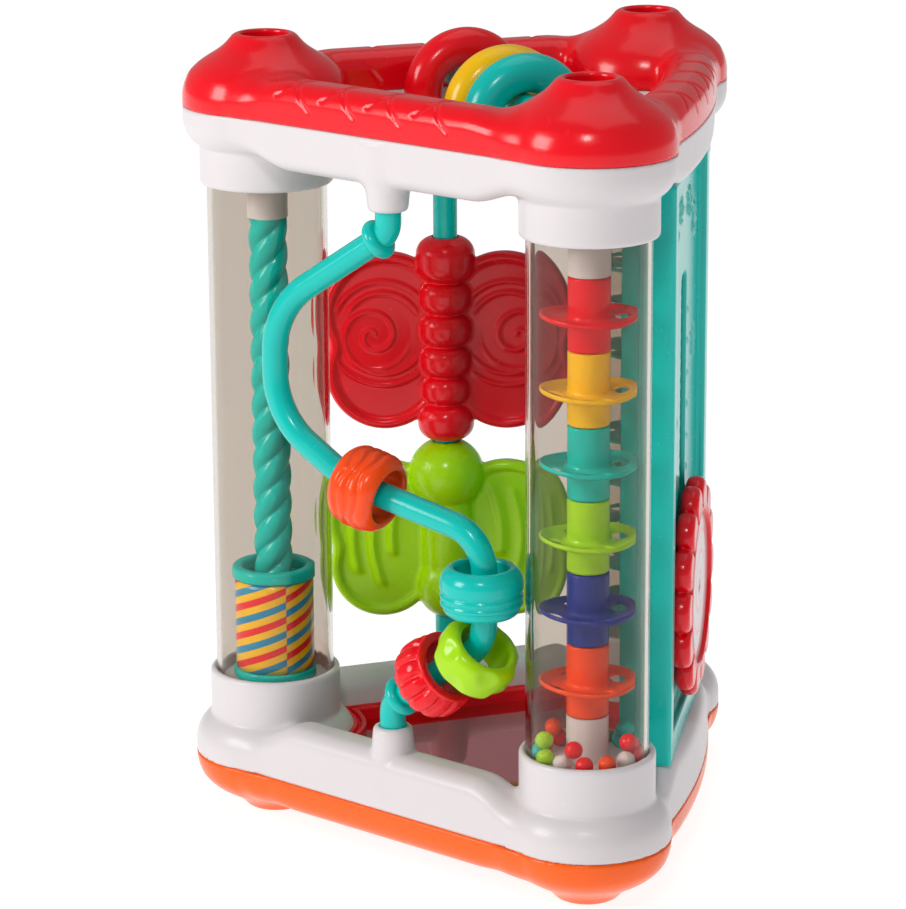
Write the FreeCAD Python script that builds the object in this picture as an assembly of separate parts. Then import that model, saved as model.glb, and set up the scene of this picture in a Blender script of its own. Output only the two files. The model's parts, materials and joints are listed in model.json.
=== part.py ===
import FreeCAD
import Part
import math
import os

# Three-sided baby activity tower, millimetres, +Z up.
# Plan: three upright tubes stand on an equilateral triangle.  The front side
# joins the left and front tubes, the right side joins the front and back tubes,
# and the left side joins the back and left tubes.

Vector = FreeCAD.Vector

# ---------------------------------------------------------------- main sizes
tube_spacing = 170.0
tube_radius = 25.0
tube_wall = 2.0
overall_height = 335.0
base_parting_z = 25.5
top_parting_z = 305.7
base_rim_z = 62.6
top_rim_z = 273.0

# ------------------------------------------------------------------- frames
corner_radius = 34.2
corner_neck_radius = 31.4
collar_radius = 27.6
shell_wall = 2.4
bar_half_width = 11.15
bar_offset = 21.15
right_bar_bow = 4.5
top_bar_cover_height = 14.9
top_bar_frame_height = 20.3
base_bar_cover_height = 15.0
base_bar_frame_height = 23.5
screw_well_radius = 9.8
screw_head_radius = 4.2
screw_shank_radius = 1.9

# ---------------------------------------------------------------- clearances
seat_gap = 0.1
turning_gap = 0.05
free_gap = 0.35

# --------------------------------------------------------------------- rods
rod_radius = 5.2
cone_tip_radius = 8.0
cone_root_radius = 10.8
cone_reach = 10.4

# ---------------------------------------------------------------- left tube
auger_radius = 8.2
auger_root_radius = 6.0
auger_lead = 36.0
auger_starts = 3
post_radius = 8.5
post_length = 19.2
drum_height = 49.0
drum_radius = 16.8
drum_rim_radius = 17.8
drum_ring_height = 5.0
drum_mouth_radius = 13.0

# --------------------------------------------------------------- front tube
axle_radius = 3.0
hub_radius = 8.5
spinner_disc_radius = 19.8
spinner_disc_thickness = 1.8
spinner_names = ("red", "yellow", "teal", "lime", "blue", "orange")
ball_radius = 3.6

# ---------------------------------------------------------------- back tube
shelf_radius = 19.0
shelf_pitch = 19.0
shelf_thickness = 1.4

# --------------------------------------------------------------- bead wire
wire_radius = 5.3
knob_radius = 8.4
bead_hole_radius = 11.0
bead_radius = 16.8

# ------------------------------------------------------------- butterflies
butterfly_rod_out = 18.5
wing_span = 53.0
wing_thickness = 3.6
wing_rim = 3.0
wing_turn = 40.0

# -------------------------------------------------------------- top rings
ring_tube_radius = 7.9
ring_middle_radius = 18.8
ring_rod_z = 312.0
ring_places = (7.5, 55.6, 77.6)

# ------------------------------------------------------------ climbing wheel
panel_half_width = 58.0
panel_back_out = 10.0
panel_front_out = 30.5
panel_field_out = 27.0
panel_split_out = 20.0
panel_skin = 3.0
wheel_radius = 46.0
wheel_petals = 14
wheel_thickness = 8.0
wheel_rest_z = 106.5
wheel_travel = 124.0
tooth_pitch = 5.3
pinion_teeth = 8
tooth_height = 3.0

# ------------------------------------------------------------ derived places
line_out = tube_spacing / (2.0 * math.sqrt(3.0))
corner_out = tube_spacing / math.sqrt(3.0)
half_side = tube_spacing / 2.0
tube_inner = tube_radius - tube_wall
plug_radius = tube_inner - seat_gap
seat_radius = tube_radius + seat_gap
tube_low_z = base_rim_z - 6.6
tube_high_z = top_rim_z + 7.0
floor_z = tube_low_z + 2.4
ceiling_z = tube_high_z - 2.5
pinion_pitch_radius = pinion_teeth * tooth_pitch / (2.0 * math.pi)
slot_half_width = pinion_pitch_radius + tooth_height / 2.0 + 0.4

tube_angles = {"left": 210.0, "front": 330.0, "back": 90.0}
side_angles = {"front": 270.0, "right": 30.0, "left": 150.0}


def polar(angle, radius, z=0.0):
    turn = math.radians(angle)
    return Vector(radius * math.cos(turn), radius * math.sin(turn), z)


def tube_point(name, z=0.0):
    return polar(tube_angles[name], corner_out, z)


def side_point(side, along, out, z):
    """A point measured along a side, outwards from its line of tubes, and up."""
    outward = polar(side_angles[side], 1.0)
    forward = polar(side_angles[side] + 90.0, 1.0)
    place = outward * (line_out + out) + forward * along
    return Vector(place.x, place.y, z)


def put(shape, place, spin=0.0):
    moved = shape.copy()
    step = FreeCAD.Placement(place, FreeCAD.Rotation(Vector(0, 0, 1), spin))
    moved.Placement = step.multiply(shape.Placement)
    return moved


def aim(shape, place, direction, spin=0.0):
    """Place a shape so that its own +Z points along the direction."""
    swing = FreeCAD.Rotation(Vector(0, 0, 1), direction)
    turn = FreeCAD.Rotation(Vector(0, 0, 1), spin)
    moved = shape.copy()
    moved.Placement = FreeCAD.Placement(place, swing.multiply(turn)).multiply(shape.Placement)
    return moved


def cylinder(radius, low, high):
    return Part.makeCylinder(radius, high - low, Vector(0, 0, low))


def outline(steps):
    """Closed wire from points; a pair of points adds an arc through the first."""
    edges = []
    last = steps[0]
    for step in steps[1:] + [steps[0]]:
        if isinstance(step, tuple):
            edges.append(Part.Arc(last, step[0], step[1]).toShape())
            last = step[1]
        else:
            edges.append(Part.makeLine(last, step))
            last = step
    return Part.Wire(edges)


def turned(steps):
    """Solid of revolution about Z from (radius, z) steps."""
    def lift(step):
        if isinstance(step[0], tuple):
            return tuple(Vector(r, 0, z) for r, z in step)
        return Vector(step[0], 0, step[1])
    face = Part.Face(outline([lift(step) for step in steps]))
    return face.revolve(Vector(0, 0, 0), Vector(0, 0, 1), 360)


def fuse(shapes):
    return shapes[0].multiFuse(shapes[1:]).removeSplitter()


def cut(shape, tools):
    for tool in tools:
        shape = shape.cut(tool)
    return shape


# ------------------------------------------------------------------- frames

def cover_section(height, inset):
    """Half-round bar section above the parting, as (out, rise) steps."""
    half = bar_half_width - inset
    rise = height - inset
    return [
        (half, 0.0),
        ((half * 0.95, rise * 0.45), (half * 0.62, rise * 0.86)),
        ((0.0, rise), (-half * 0.62, rise * 0.86)),
        ((-half * 0.95, rise * 0.45), (-half, 0.0)),
    ]


def frame_section(height, inset):
    """Bar section on the other side of the parting, with rounded lower edges."""
    half = bar_half_width - inset
    rise = height - inset
    round_in = 6.0
    return [
        (half, 0.0),
        (half - 1.2, rise - 7.0),
        ((half - 2.8, rise - 1.9), (half - round_in - 1.0, rise)),
        (-half + round_in + 1.0, rise),
        ((-half + 2.8, rise - 1.9), (-half + 1.2, rise - 7.0)),
        (-half, 0.0),
    ]


def bar(side, section, parting, sense):
    """One bar of a triangular frame; the right-hand bar is bowed outwards."""
    bow = right_bar_bow if side == "right" else 0.0

    def lift(step):
        if isinstance(step[0], tuple):
            return tuple(lift(part) for part in step)
        return side_point(side, 0.0, bar_offset + bow + step[0], parting + sense * step[1])

    face = Part.Face(outline([lift(step) for step in section]))
    if bow == 0.0:
        forward = side_point(side, half_side, 0, 0) - side_point(side, 0, 0, 0)
        face.translate(forward * -1.0)
        return face.extrude(forward * 2.0)
    reach = half_side - corner_radius * 0.7
    bend = (reach * reach + bow * bow) / (2.0 * bow)
    axis_point = side_point(side, 0.0, bar_offset + bow - bend, 0.0)
    sweep = math.degrees(math.asin((half_side - 4.0) / bend))
    face.rotate(axis_point, Vector(0, 0, 1), -sweep)
    return face.revolve(axis_point, Vector(0, 0, 1), 2.0 * sweep)


def cover_corner(parting, sense, depth, inset):
    """Rounded shoulder that runs into a smaller bell-shaped nose."""
    steepness = depth / 29.3

    def at(radius, rise):
        return (radius, parting + sense * rise * steepness)

    if inset:
        steps = [at(13.0, 0.0), at(corner_radius - inset, 0.0), at(corner_radius - inset, 3.0),
                 (at(28.2, 12.0), at(21.5, 17.5)), at(13.0, 18.5)]
        return turned(steps)
    steps = [
        at(0.0, 0.0),
        at(corner_radius, 0.0),
        at(corner_radius, 3.3),
        (at(31.2, 13.0), at(24.0, 19.8)),
        (at(18.6, 22.9), at(15.6, 26.0)),
        (at(14.6, 28.3), at(12.6, 29.3)),
        at(screw_well_radius, 29.3),
        at(screw_well_radius, 16.0),
        at(0.0, 16.0),
    ]
    return turned(steps)


def frame_corner(parting, sense, rim, neck):
    """White half of a corner: shoulder, neck and the collar that holds a tube."""
    def at(radius, rise):
        return (radius, parting + sense * rise)

    seat = rim - 6.6 if sense > 0 else rim - 7.0
    steps = [
        at(0.0, 0.0),
        at(corner_radius, 0.0),
        (at(corner_radius - 1.0, neck * 0.4), at(corner_neck_radius, neck * 0.68)),
        (at(29.2, neck * 0.9), at(collar_radius, neck)),
        at(collar_radius, rim),
        at(seat_radius, rim),
        at(seat_radius, seat),
        at(plug_radius, seat),
        at(plug_radius, seat + 2.4),
        at(0.0, seat + 2.4),
    ]
    return turned(steps)


def frame_cavity(parting, sense, rim):
    steps = [(7.0, parting), (24.5, parting), (24.5, parting + sense * (rim - 12.0)),
             (7.0, parting + sense * (rim - 12.0))]
    return turned(steps)


def triangle_cover(parting, sense, depth, bar_height):
    outer = []
    inner = []
    for side in side_angles:
        outer.append(bar(side, cover_section(bar_height, 0.0), parting, sense))
        inner.append(bar(side, cover_section(bar_height, shell_wall), parting, sense))
    solid = outer
    for name in tube_angles:
        solid.append(put(cover_corner(parting, sense, depth, 0.0), tube_point(name)))
    shell = fuse(solid)
    low = min(parting, parting + sense * depth) - 1.0
    for name in tube_angles:
        blank = put(cylinder(13.0, low, low + depth + 2.0), tube_point(name))
        inner = [piece.cut(blank) for piece in inner]
        inner.append(put(cover_corner(parting, sense, depth, shell_wall), tube_point(name)))
    wells = []
    for name in tube_angles:
        well = cylinder(screw_well_radius, low, low + depth + 2.0)
        seat_level = parting + sense * 16.0 * depth / 29.3
        if sense > 0:
            well = cylinder(screw_well_radius, seat_level, parting + depth + 5.0)
        else:
            well = cylinder(screw_well_radius, parting - depth - 5.0, seat_level)
        wells.append(put(well, tube_point(name)))
        hole = cylinder(screw_shank_radius + 0.4, low, low + depth + 2.0)
        wells.append(put(hole, tube_point(name)))
    return cut(shell, inner + wells)


def triangle_frame(parting, sense, rim, neck, bar_height):
    outer = []
    inner = []
    for side in side_angles:
        outer.append(bar(side, frame_section(bar_height, 0.0), parting, sense))
        inner.append(bar(side, frame_section(bar_height, shell_wall), parting, sense))
    corners = [put(frame_corner(parting, sense, rim, neck), tube_point(name)) for name in tube_angles]
    shell = fuse(outer + corners)
    # the bars stop at the tube seats
    for name in tube_angles:
        seat = parting + sense * (rim - 7.0 if sense < 0 else rim - 6.6)
        far = parting + sense * (rim + 20.0)
        bore = cylinder(seat_radius, min(seat, far), max(seat, far))
        plug = cylinder(plug_radius, min(seat, far), max(seat, far))
        shell = shell.cut(put(bore.cut(plug), tube_point(name)))
        tip = parting + sense * (rim - 4.6 if sense < 0 else rim - 4.2)
        cap = cylinder(plug_radius + 0.05, min(tip, far), max(tip, far))
        shell = shell.cut(put(cap, tube_point(name)))
    hollows = []
    for piece in inner:
        for name in tube_angles:
            core = cylinder(26.5, min(parting, parting + sense * rim), max(parting, parting + sense * rim))
            piece = piece.cut(put(core, tube_point(name)))
        hollows.append(piece)
    for name in tube_angles:
        hollows.append(put(frame_cavity(parting, sense, rim), tube_point(name)))
        shank = cylinder(screw_shank_radius, parting - 12.0, parting + 12.0)
        hollows.append(put(shank, tube_point(name)))
    return cut(shell, hollows)


def opening_prism(low, high, out, clear):
    """Upright prism of the triangular opening inside a frame."""
    corners = []
    reach = (line_out + out) * 2.0
    for name in ("left", "front", "back"):
        corners.append(polar(tube_angles[name], reach, low))
    face = Part.Face(Part.makePolygon(corners + [corners[0]]))
    prism = face.extrude(Vector(0, 0, high - low))
    for name in tube_angles:
        prism = prism.cut(put(cylinder(corner_radius + clear, low - 1.0, high + 1.0), tube_point(name)))
    return prism


def cone(low_z, high_z, low_radius, high_radius, place):
    shape = Part.makeCone(low_radius, high_radius, high_z - low_z)
    shape.translate(Vector(place.x, place.y, low_z))
    return shape


top_depth = overall_height - top_parting_z
top_rim = top_parting_z - top_rim_z
base_rim = base_rim_z - base_parting_z
top_bar_low_z = top_parting_z - top_bar_frame_height
base_bar_high_z = base_parting_z + base_bar_frame_height

wire_top_z = top_bar_low_z - cone_reach
wire_low_z = base_bar_high_z + cone_reach
wire_foot = side_point("front", 0.0, bar_offset, 0.0)
rod_foot = side_point("left", 0.0, butterfly_rod_out, 0.0)

top_cover = triangle_cover(top_parting_z, 1, top_depth, top_bar_cover_height)
base_cover = triangle_cover(base_parting_z, -1, base_parting_z, base_bar_cover_height)
top_frame = triangle_frame(top_parting_z, -1, top_rim, 17.0, top_bar_frame_height)
base_frame = triangle_frame(base_parting_z, 1, base_rim, 17.2, base_bar_frame_height)

for foot in (wire_foot, rod_foot):
    top_cone = cone(wire_top_z, top_parting_z - 4.0, cone_tip_radius, cone_root_radius, foot)
    base_cone = cone(base_parting_z + 4.0, wire_low_z, cone_root_radius, cone_tip_radius, foot)
    top_frame = top_frame.fuse(top_cone)
    base_frame = base_frame.fuse(base_cone)
    socket_low = put(cylinder(rod_radius + seat_gap + 0.1, wire_low_z - 12.0, wire_low_z + 1.0), foot)
    socket_high = put(cylinder(rod_radius + seat_gap + 0.1, wire_top_z - 1.0, wire_top_z + 12.0), foot)
    base_frame = base_frame.cut(socket_low)
    top_frame = top_frame.cut(socket_high)
top_frame = top_frame.removeSplitter()
base_frame = base_frame.removeSplitter()

parts = {}


# -------------------------------------------------------------------- tubes

def clear_tube(name):
    outer = cylinder(tube_radius, tube_low_z, tube_high_z)
    inner = cylinder(tube_inner, tube_low_z - 1.0, tube_high_z + 1.0)
    return put(outer.cut(inner), tube_point(name))


for name in tube_angles:
    parts[name + "_tube"] = clear_tube(name)


# --------------------------------------------------- left tube: auger and drum

def lobed_wire(peak, root, lobes, z):
    """Closed outline of equal lobes whose flanks meet in soft valleys."""
    edges = []
    step = 360.0 / lobes
    for index in range(lobes):
        middle = index * step
        start = polar(middle - step * 0.30, (peak + root) / 2.0, z)
        crest = polar(middle, peak, z)
        end = polar(middle + step * 0.30, (peak + root) / 2.0, z)
        valley = polar(middle + step * 0.5, root, z)
        following = polar(middle + step * 0.70, (peak + root) / 2.0, z)
        edges.append(Part.Arc(start, crest, end).toShape())
        edges.append(Part.Arc(end, valley, following).toShape())
    return Part.Wire(edges)


def twisted_bar(low, high):
    spine = Part.Wire([Part.makeLine(Vector(0, 0, low), Vector(0, 0, high))])
    guide = Part.makeHelix(auger_lead, high - low, auger_radius)
    guide.translate(Vector(0, 0, low))
    shell = Part.BRepOffsetAPI.MakePipeShell(spine)
    shell.setAuxiliarySpine(Part.Wire(guide.Edges), True, 0)
    shell.add(lobed_wire(auger_radius, auger_root_radius, auger_starts, low))
    shell.build()
    shell.makeSolid()
    return shell.shape()


auger_top_z = ceiling_z - post_length
left = tube_point("left")
parts["auger"] = put(twisted_bar(floor_z, auger_top_z), left)
parts["auger_post"] = put(cylinder(post_radius, auger_top_z, ceiling_z), left)

drum_low_z = floor_z + free_gap
drum_high_z = drum_low_z + drum_height
ring_low_z = drum_high_z - drum_ring_height
drum_bore = auger_radius + free_gap
drum_ring = turned([
    (drum_mouth_radius, ring_low_z),
    (drum_rim_radius, ring_low_z),
    (drum_rim_radius, drum_high_z - 1.2),
    ((drum_rim_radius - 0.4, drum_high_z - 0.4), (drum_rim_radius - 1.2, drum_high_z)),
    (drum_mouth_radius + 1.2, drum_high_z),
    ((drum_mouth_radius + 0.4, drum_high_z - 0.4), (drum_mouth_radius, drum_high_z - 1.2)),
])
spool_high_z = ring_low_z - free_gap
spool = turned([
    (drum_bore, drum_low_z),
    (drum_rim_radius, drum_low_z),
    (drum_rim_radius, drum_low_z + 4.0),
    (drum_radius - 0.5, drum_low_z + 4.0),
    (drum_radius - 0.5, spool_high_z),
    (drum_radius - 2.5, spool_high_z),
    (drum_radius - 2.5, drum_low_z + 6.0),
    (drum_bore, drum_low_z + 6.0),
])
label = turned([
    (drum_radius - 0.5, drum_low_z + 4.0),
    (drum_radius, drum_low_z + 4.0),
    (drum_radius, spool_high_z),
    (drum_radius - 0.5, spool_high_z),
])
parts["drum_ring"] = put(drum_ring, left)
parts["drum_spool"] = put(spool, left)
parts["drum_label"] = put(label, left)


# ------------------------------------------- front tube: six spinners and balls

front = tube_point("front")
stack_low_z = floor_z + post_length
stack_high_z = ceiling_z - post_length - 1.0
hub_pitch = (stack_high_z - stack_low_z) / len(spinner_names)
axle = cylinder(axle_radius, stack_low_z - 8.0, stack_high_z + 8.0)
lower_post = cylinder(post_radius, floor_z, stack_low_z - free_gap / 2.0)
upper_post = cylinder(post_radius, stack_high_z + free_gap / 2.0, ceiling_z)
parts["spinner_axle"] = put(axle, front)
parts["spinner_posts"] = put(Part.makeCompound([lower_post.cut(axle), upper_post.cut(axle)]), front)


def spinner(low, turn):
    """Hub with a scalloped, pierced disc a little above its middle."""
    hub = cylinder(hub_radius, low + free_gap / 2.0, low + hub_pitch - free_gap / 2.0)
    disc_low = low + hub_pitch * 0.45
    disc = cylinder(spinner_disc_radius, disc_low, disc_low + spinner_disc_thickness)
    for index in range(4):
        scallop = cylinder(5.0, disc_low - 1.0, disc_low + 4.0)
        hole = cylinder(2.6, disc_low - 1.0, disc_low + 4.0)
        disc = disc.cut(put(scallop, polar(90.0 * index, spinner_disc_radius + 2.2)))
        disc = disc.cut(put(hole, polar(90.0 * index + 45.0, 13.8)))
    bore = cylinder(axle_radius + turning_gap, low - 1.0, low + hub_pitch + 1.0)
    return put(hub.fuse(disc).cut(bore).removeSplitter(), front, turn)


for index, colour in enumerate(spinner_names):
    low = stack_high_z - (index + 1) * hub_pitch
    parts["spinner_" + colour] = spinner(low, 25.0 + 37.0 * index)

ball_colours = ("white", "red", "orange", "teal", "lime")
ball_ring_radius = (post_radius + tube_inner) / 2.0
balls = {colour: [] for colour in ball_colours}
ball = Part.makeSphere(ball_radius)
for index in range(13):
    place = polar(360.0 / 13 * index, tube_inner - ball_radius - 0.3, floor_z + ball_radius + 0.05)
    balls[ball_colours[index % 5]].append(put(ball, front + place))
for index in range(6):
    turn = 360.0 / 13 * (index * 2 + 0.5)
    place = polar(turn, tube_inner - ball_radius - 1.6, floor_z + ball_radius * 2.65)
    balls[ball_colours[(index * 2 + 1) % 5]].append(put(ball, front + place))
for colour in ball_colours:
    parts["balls_" + colour] = Part.makeCompound(balls[colour])


# ----------------------------------------------------- back tube: fixed shelves

back = tube_point("back")
shelf_stack = [cylinder(post_radius - 3.0, floor_z, ceiling_z)]
shelf_count = int((ceiling_z - floor_z - 20.0) / shelf_pitch)
for index in range(shelf_count):
    low = ceiling_z - 34.0 - index * shelf_pitch
    if low < floor_z + 12.0:
        break
    shelf = cylinder(shelf_radius, low, low + shelf_thickness)
    for hole in range(3):
        gap = cylinder(4.6, low - 1.0, low + 3.0)
        shelf = shelf.cut(put(gap, polar(120.0 * hole + 40.0 * index, 13.0)))
    shelf_stack.append(shelf)
parts["rain_shelves"] = put(fuse(shelf_stack), back)


# ------------------------------------------------------------ bead wire, beads

def wire_corner(along, out, z):
    return side_point("front", along, out, z)


wire_corners = [
    (wire_corner(0.0, bar_offset, wire_top_z + 10.0), 0.0),
    (wire_corner(0.0, bar_offset, wire_top_z - 9.0), 9.0),
    (wire_corner(-53.0, 31.5, 229.5), 34.0),
    (wire_corner(-51.5, 33.0, 185.0), 34.0),
    (wire_corner(-14.0, 29.5, 162.5), 60.0),
    (wire_corner(49.0, bar_offset, 149.0), 18.0),
    (wire_corner(49.0, bar_offset, 104.5), 18.0),
    (wire_corner(0.0, bar_offset, wire_low_z + 10.0), 9.0),
    (wire_corner(0.0, bar_offset, wire_low_z - 10.0), 0.0),
]


def bent_rod(corners, radius):
    """Straight runs of round bar joined by arcs of each corner's bend radius."""
    pieces = []
    last = corners[0][0]
    for index in range(1, len(corners) - 1):
        corner, bend = corners[index]
        into = (corner - corners[index - 1][0]).normalize()
        away = (corners[index + 1][0] - corner).normalize()
        turn = into.getAngle(away)
        setback = bend * math.tan(turn / 2.0)
        start = corner - into * setback
        axis = into.cross(away).normalize()
        middle = start + axis.cross(into).normalize() * bend
        run = start - last
        pieces.append(Part.makeCylinder(radius, run.Length, last, into))
        section = Part.Face(Part.Wire([Part.makeCircle(radius, start, into)]))
        pieces.append(section.revolve(middle, axis, math.degrees(turn)))
        last = corner + away * setback
    run = corners[-1][0] - last
    pieces.append(Part.makeCylinder(radius, run.Length, last, run))
    return fuse(pieces)


def knob(place, heading):
    shape = turned([
        (0.0, -2.6),
        (wire_radius - 0.6, -2.6),
        ((knob_radius, 0.0), (wire_radius - 0.6, 2.6)),
        (0.0, 2.6),
    ])
    return aim(shape, place, heading)


def between(first, second, share):
    return first + (second - first) * share


corner_at = [corner for corner, radius in wire_corners]
side_slide = side_point("front", 1.0, 0.0, 0.0) - side_point("front", 0.0, 0.0, 0.0)
top_run = (corner_at[2] - corner_at[1]).normalize()
low_run = (corner_at[7] - corner_at[6]).normalize()
mid_run = (corner_at[5] - corner_at[4]).normalize()
wire_solid = bent_rod(wire_corners, wire_radius)
upper_knob = knob(corner_at[1] + top_run * 5.5, top_run)
lower_knob = knob(corner_at[7] - low_run * 6.5, low_run)
parts["bead_wire"] = fuse([wire_solid, upper_knob, lower_knob])


def bead_body(radius, length, edge):
    half = length / 2.0
    return turned([
        (bead_hole_radius + 0.4, -half),
        (radius - edge, -half),
        ((radius - edge * 0.3, -half + edge * 0.3), (radius, -half + edge)),
        (radius, half - edge),
        ((radius - edge * 0.3, half - edge * 0.3), (radius - edge, half)),
        (bead_hole_radius + 0.4, half),
        (bead_hole_radius, half - 0.4),
        (bead_hole_radius, -half + 0.4),
    ])


def groove(radius, z, size):
    ring = Part.makeTorus(radius, size)
    ring.translate(Vector(0, 0, z))
    return ring


orange_bead = bead_body(bead_radius, 24.0, 4.8).cut(groove(bead_radius + 0.6, 0.0, 1.6))
teal_bead = cut(bead_body(bead_radius, 22.0, 4.0), [groove(bead_radius + 0.6, z, 1.5) for z in (-4.2, 4.2)])
lime_radius = bead_radius - 1.6
lime_bead = bead_body(lime_radius, 16.6, 3.4)
for index in range(8):
    bump = Part.makeSphere(3.4)
    bump.translate(polar(45.0 * index, lime_radius - 1.8, 3.0 if index % 2 else -3.0))
    lime_bead = lime_bead.fuse(bump)
lime_bead = lime_bead.cut(cylinder(bead_hole_radius, -12.0, 12.0))
red_bead = bead_body(bead_radius, 20.0, 5.0)
for index in range(12):
    flute = cylinder(1.7, -12.0, 12.0)
    red_bead = red_bead.cut(put(flute, polar(30.0 * index, bead_radius + 0.5)))

teal_heading = (corner_at[6] - corner_at[5]).normalize()
lime_heading = (low_run * 0.72 + teal_heading * 0.28).normalize()
orange_place = corner_at[4] + mid_run * 8.0
teal_place = between(corner_at[5], corner_at[6], 0.50) - side_slide * 1.3
lime_place = corner_at[6] - side_slide * 4.1 - Vector(0, 0, 6.4)
red_place = corner_at[7] - low_run * 27.5
parts["bead_orange"] = aim(orange_bead, orange_place, mid_run)
parts["bead_teal"] = aim(teal_bead, teal_place, teal_heading)
parts["bead_lime"] = aim(lime_bead, lime_place, lime_heading)
parts["bead_red"] = aim(red_bead, red_place, low_run)


# ------------------------------------------------------- butterflies on a rod

parts["butterfly_rod"] = put(cylinder(rod_radius, wire_low_z - 11.0, wire_top_z + 11.0), rod_foot)


def barrel(low, high, waist, belly):
    middle = (low + high) / 2.0
    return turned([(0.0, low), (waist, low), ((belly, middle), (waist, high)), (0.0, high)])


def wing_disc(x, z, radius, thickness):
    disc = Part.makeCylinder(radius, thickness, Vector(x, -thickness / 2.0, z), Vector(0, 1, 0))
    return disc


def butterfly(body, lobes, ribs):
    """Segmented body with flat wings, raised rims and curved ribs on both faces."""
    pieces = list(body)
    for sign in (-1, 1):
        flat = fuse([wing_disc(sign * x, z, radius, wing_thickness) for x, z, radius in lobes])
        thick = fuse([wing_disc(sign * x, z, radius, wing_thickness + 2.4) for x, z, radius in lobes])
        inner = fuse([wing_disc(sign * x, z, radius - wing_rim, wing_thickness + 4.0)
                      for x, z, radius in lobes])
        pieces.append(flat)
        pieces.append(thick.cut(inner))
        for x, z, radius in ribs:
            rib = wing_disc(sign * x, z, radius, wing_thickness + 1.6)
            pieces.append(rib.cut(wing_disc(sign * x, z, radius - 1.4, wing_thickness + 3.0)))
    shape = fuse(pieces)
    bore = cylinder(rod_radius + free_gap, 0.0, overall_height)
    return put(shape.cut(bore), rod_foot, wing_turn)


red_low_z = 150.0
red_body = [
    barrel(red_low_z, 166.0, 8.6, 11.6),
    barrel(166.0, 179.2, 9.0, 11.0),
    barrel(179.2, 193.0, 9.0, 11.2),
    barrel(193.0, 207.0, 9.0, 11.2),
    barrel(207.0, 221.0, 9.0, 11.2),
    barrel(221.0, 239.4, 9.0, 12.6),
]
red_lobes = ((wing_span - 28.0, 210.0, 28.0), (wing_span - 27.0, 186.5, 24.5))
red_ribs = ((wing_span - 27.0, 210.0, 17.0), (wing_span - 26.0, 208.0, 9.0))
green_high_z = red_low_z - free_gap
green_low_z = wire_low_z + 9.5
green_body = [
    barrel(green_low_z, 98.0, 8.6, 13.2),
    barrel(98.0, 123.0, 9.0, 11.4),
    barrel(123.0, green_high_z, 10.0, 16.4),
]
green_lobes = ((wing_span - 27.0, 117.0, 26.5), (wing_span - 29.0, 99.5, 23.5))
green_ribs = ((wing_span - 27.0, 116.0, 19.0), (wing_span - 27.0, 115.0, 13.0),
              (wing_span - 27.0, 114.0, 7.0))
parts["red_butterfly"] = butterfly(red_body, red_lobes, red_ribs)
parts["green_butterfly"] = butterfly(green_body, green_lobes, green_ribs)


# --------------------------------------------------------- rings on a cross rod

ring_heading = polar(side_angles["left"] + 180.0, 1.0)
ring_start = side_point("left", 0.0, 0.0, ring_rod_z)
ring_rod_from = ring_start - ring_heading * 15.0
ring_rod_length = half_side * math.sqrt(3.0) - corner_radius + 15.0 + 5.0
parts["ring_rod"] = Part.makeCylinder(rod_radius, ring_rod_length, ring_rod_from, ring_heading)
rod_hole = Part.makeCylinder(rod_radius + 0.2, ring_rod_length, ring_rod_from, ring_heading)
top_cover = top_cover.cut(rod_hole)
top_frame = top_frame.cut(rod_hole)
hang = ring_middle_radius - ring_tube_radius - rod_radius - free_gap
for colour, place in zip(("red", "yellow", "teal"), ring_places):
    middle = ring_start + ring_heading * place - Vector(0, 0, hang)
    parts["ring_" + colour] = Part.makeTorus(ring_middle_radius, ring_tube_radius, middle, ring_heading)


# --------------------------------------------------- panel and climbing wheel

panel_turn = side_angles["right"] + 90.0


def on_panel(shape):
    """Local x runs outwards from the line of tubes, y along the panel, z up."""
    return put(shape, side_point("right", 0.0, 0.0, 0.0), side_angles["right"])


def block(out_low, out_high, along_low, along_high, low, high):
    return Part.makeBox(out_high - out_low, along_high - along_low, high - low,
                        Vector(out_low, along_low, low))


panel_low_z = base_bar_high_z - 6.0
panel_high_z = top_bar_low_z + 6.0
field_low_z = wheel_rest_z - wheel_radius - 2.0
field_high_z = top_bar_low_z - 2.0
slot_low_z = wheel_rest_z - slot_half_width - 0.6
slot_high_z = wheel_rest_z + wheel_travel + slot_half_width + 0.6
cavity_half_width = 15.0
recess_half_width = wheel_radius + 2.5

front_shell = block(panel_split_out, panel_front_out, -panel_half_width, panel_half_width,
                    panel_low_z, panel_high_z)
front_shell = front_shell.cut(block(panel_field_out, panel_front_out + 1.0, -recess_half_width,
                                    recess_half_width, field_low_z, field_high_z))
front_shell = front_shell.cut(block(panel_split_out - 1.0, panel_field_out - panel_skin,
                                    -panel_half_width + 3.0, panel_half_width - 3.0,
                                    base_bar_high_z + 4.0, top_bar_low_z - 4.0))
back_shell = block(panel_back_out, panel_split_out, -panel_half_width, panel_half_width,
                   panel_low_z, panel_high_z)
back_shell = back_shell.cut(block(panel_back_out + panel_skin, panel_split_out + 1.0,
                                  -panel_half_width + 3.0, panel_half_width - 3.0,
                                  base_bar_high_z + 4.0, top_bar_low_z - 4.0))
for sign in (-1, 1):
    rib_low = cavity_half_width if sign > 0 else -cavity_half_width - 2.0
    rib = block(panel_back_out + 1.0, panel_field_out - panel_skin - 0.4, rib_low, rib_low + 2.0,
                base_bar_high_z + 4.0, top_bar_low_z - 4.0)
    back_shell = back_shell.fuse(rib)
slot = block(panel_split_out, panel_front_out, -slot_half_width, slot_half_width,
             slot_low_z, slot_high_z)
front_shell = front_shell.cut(slot)

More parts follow.
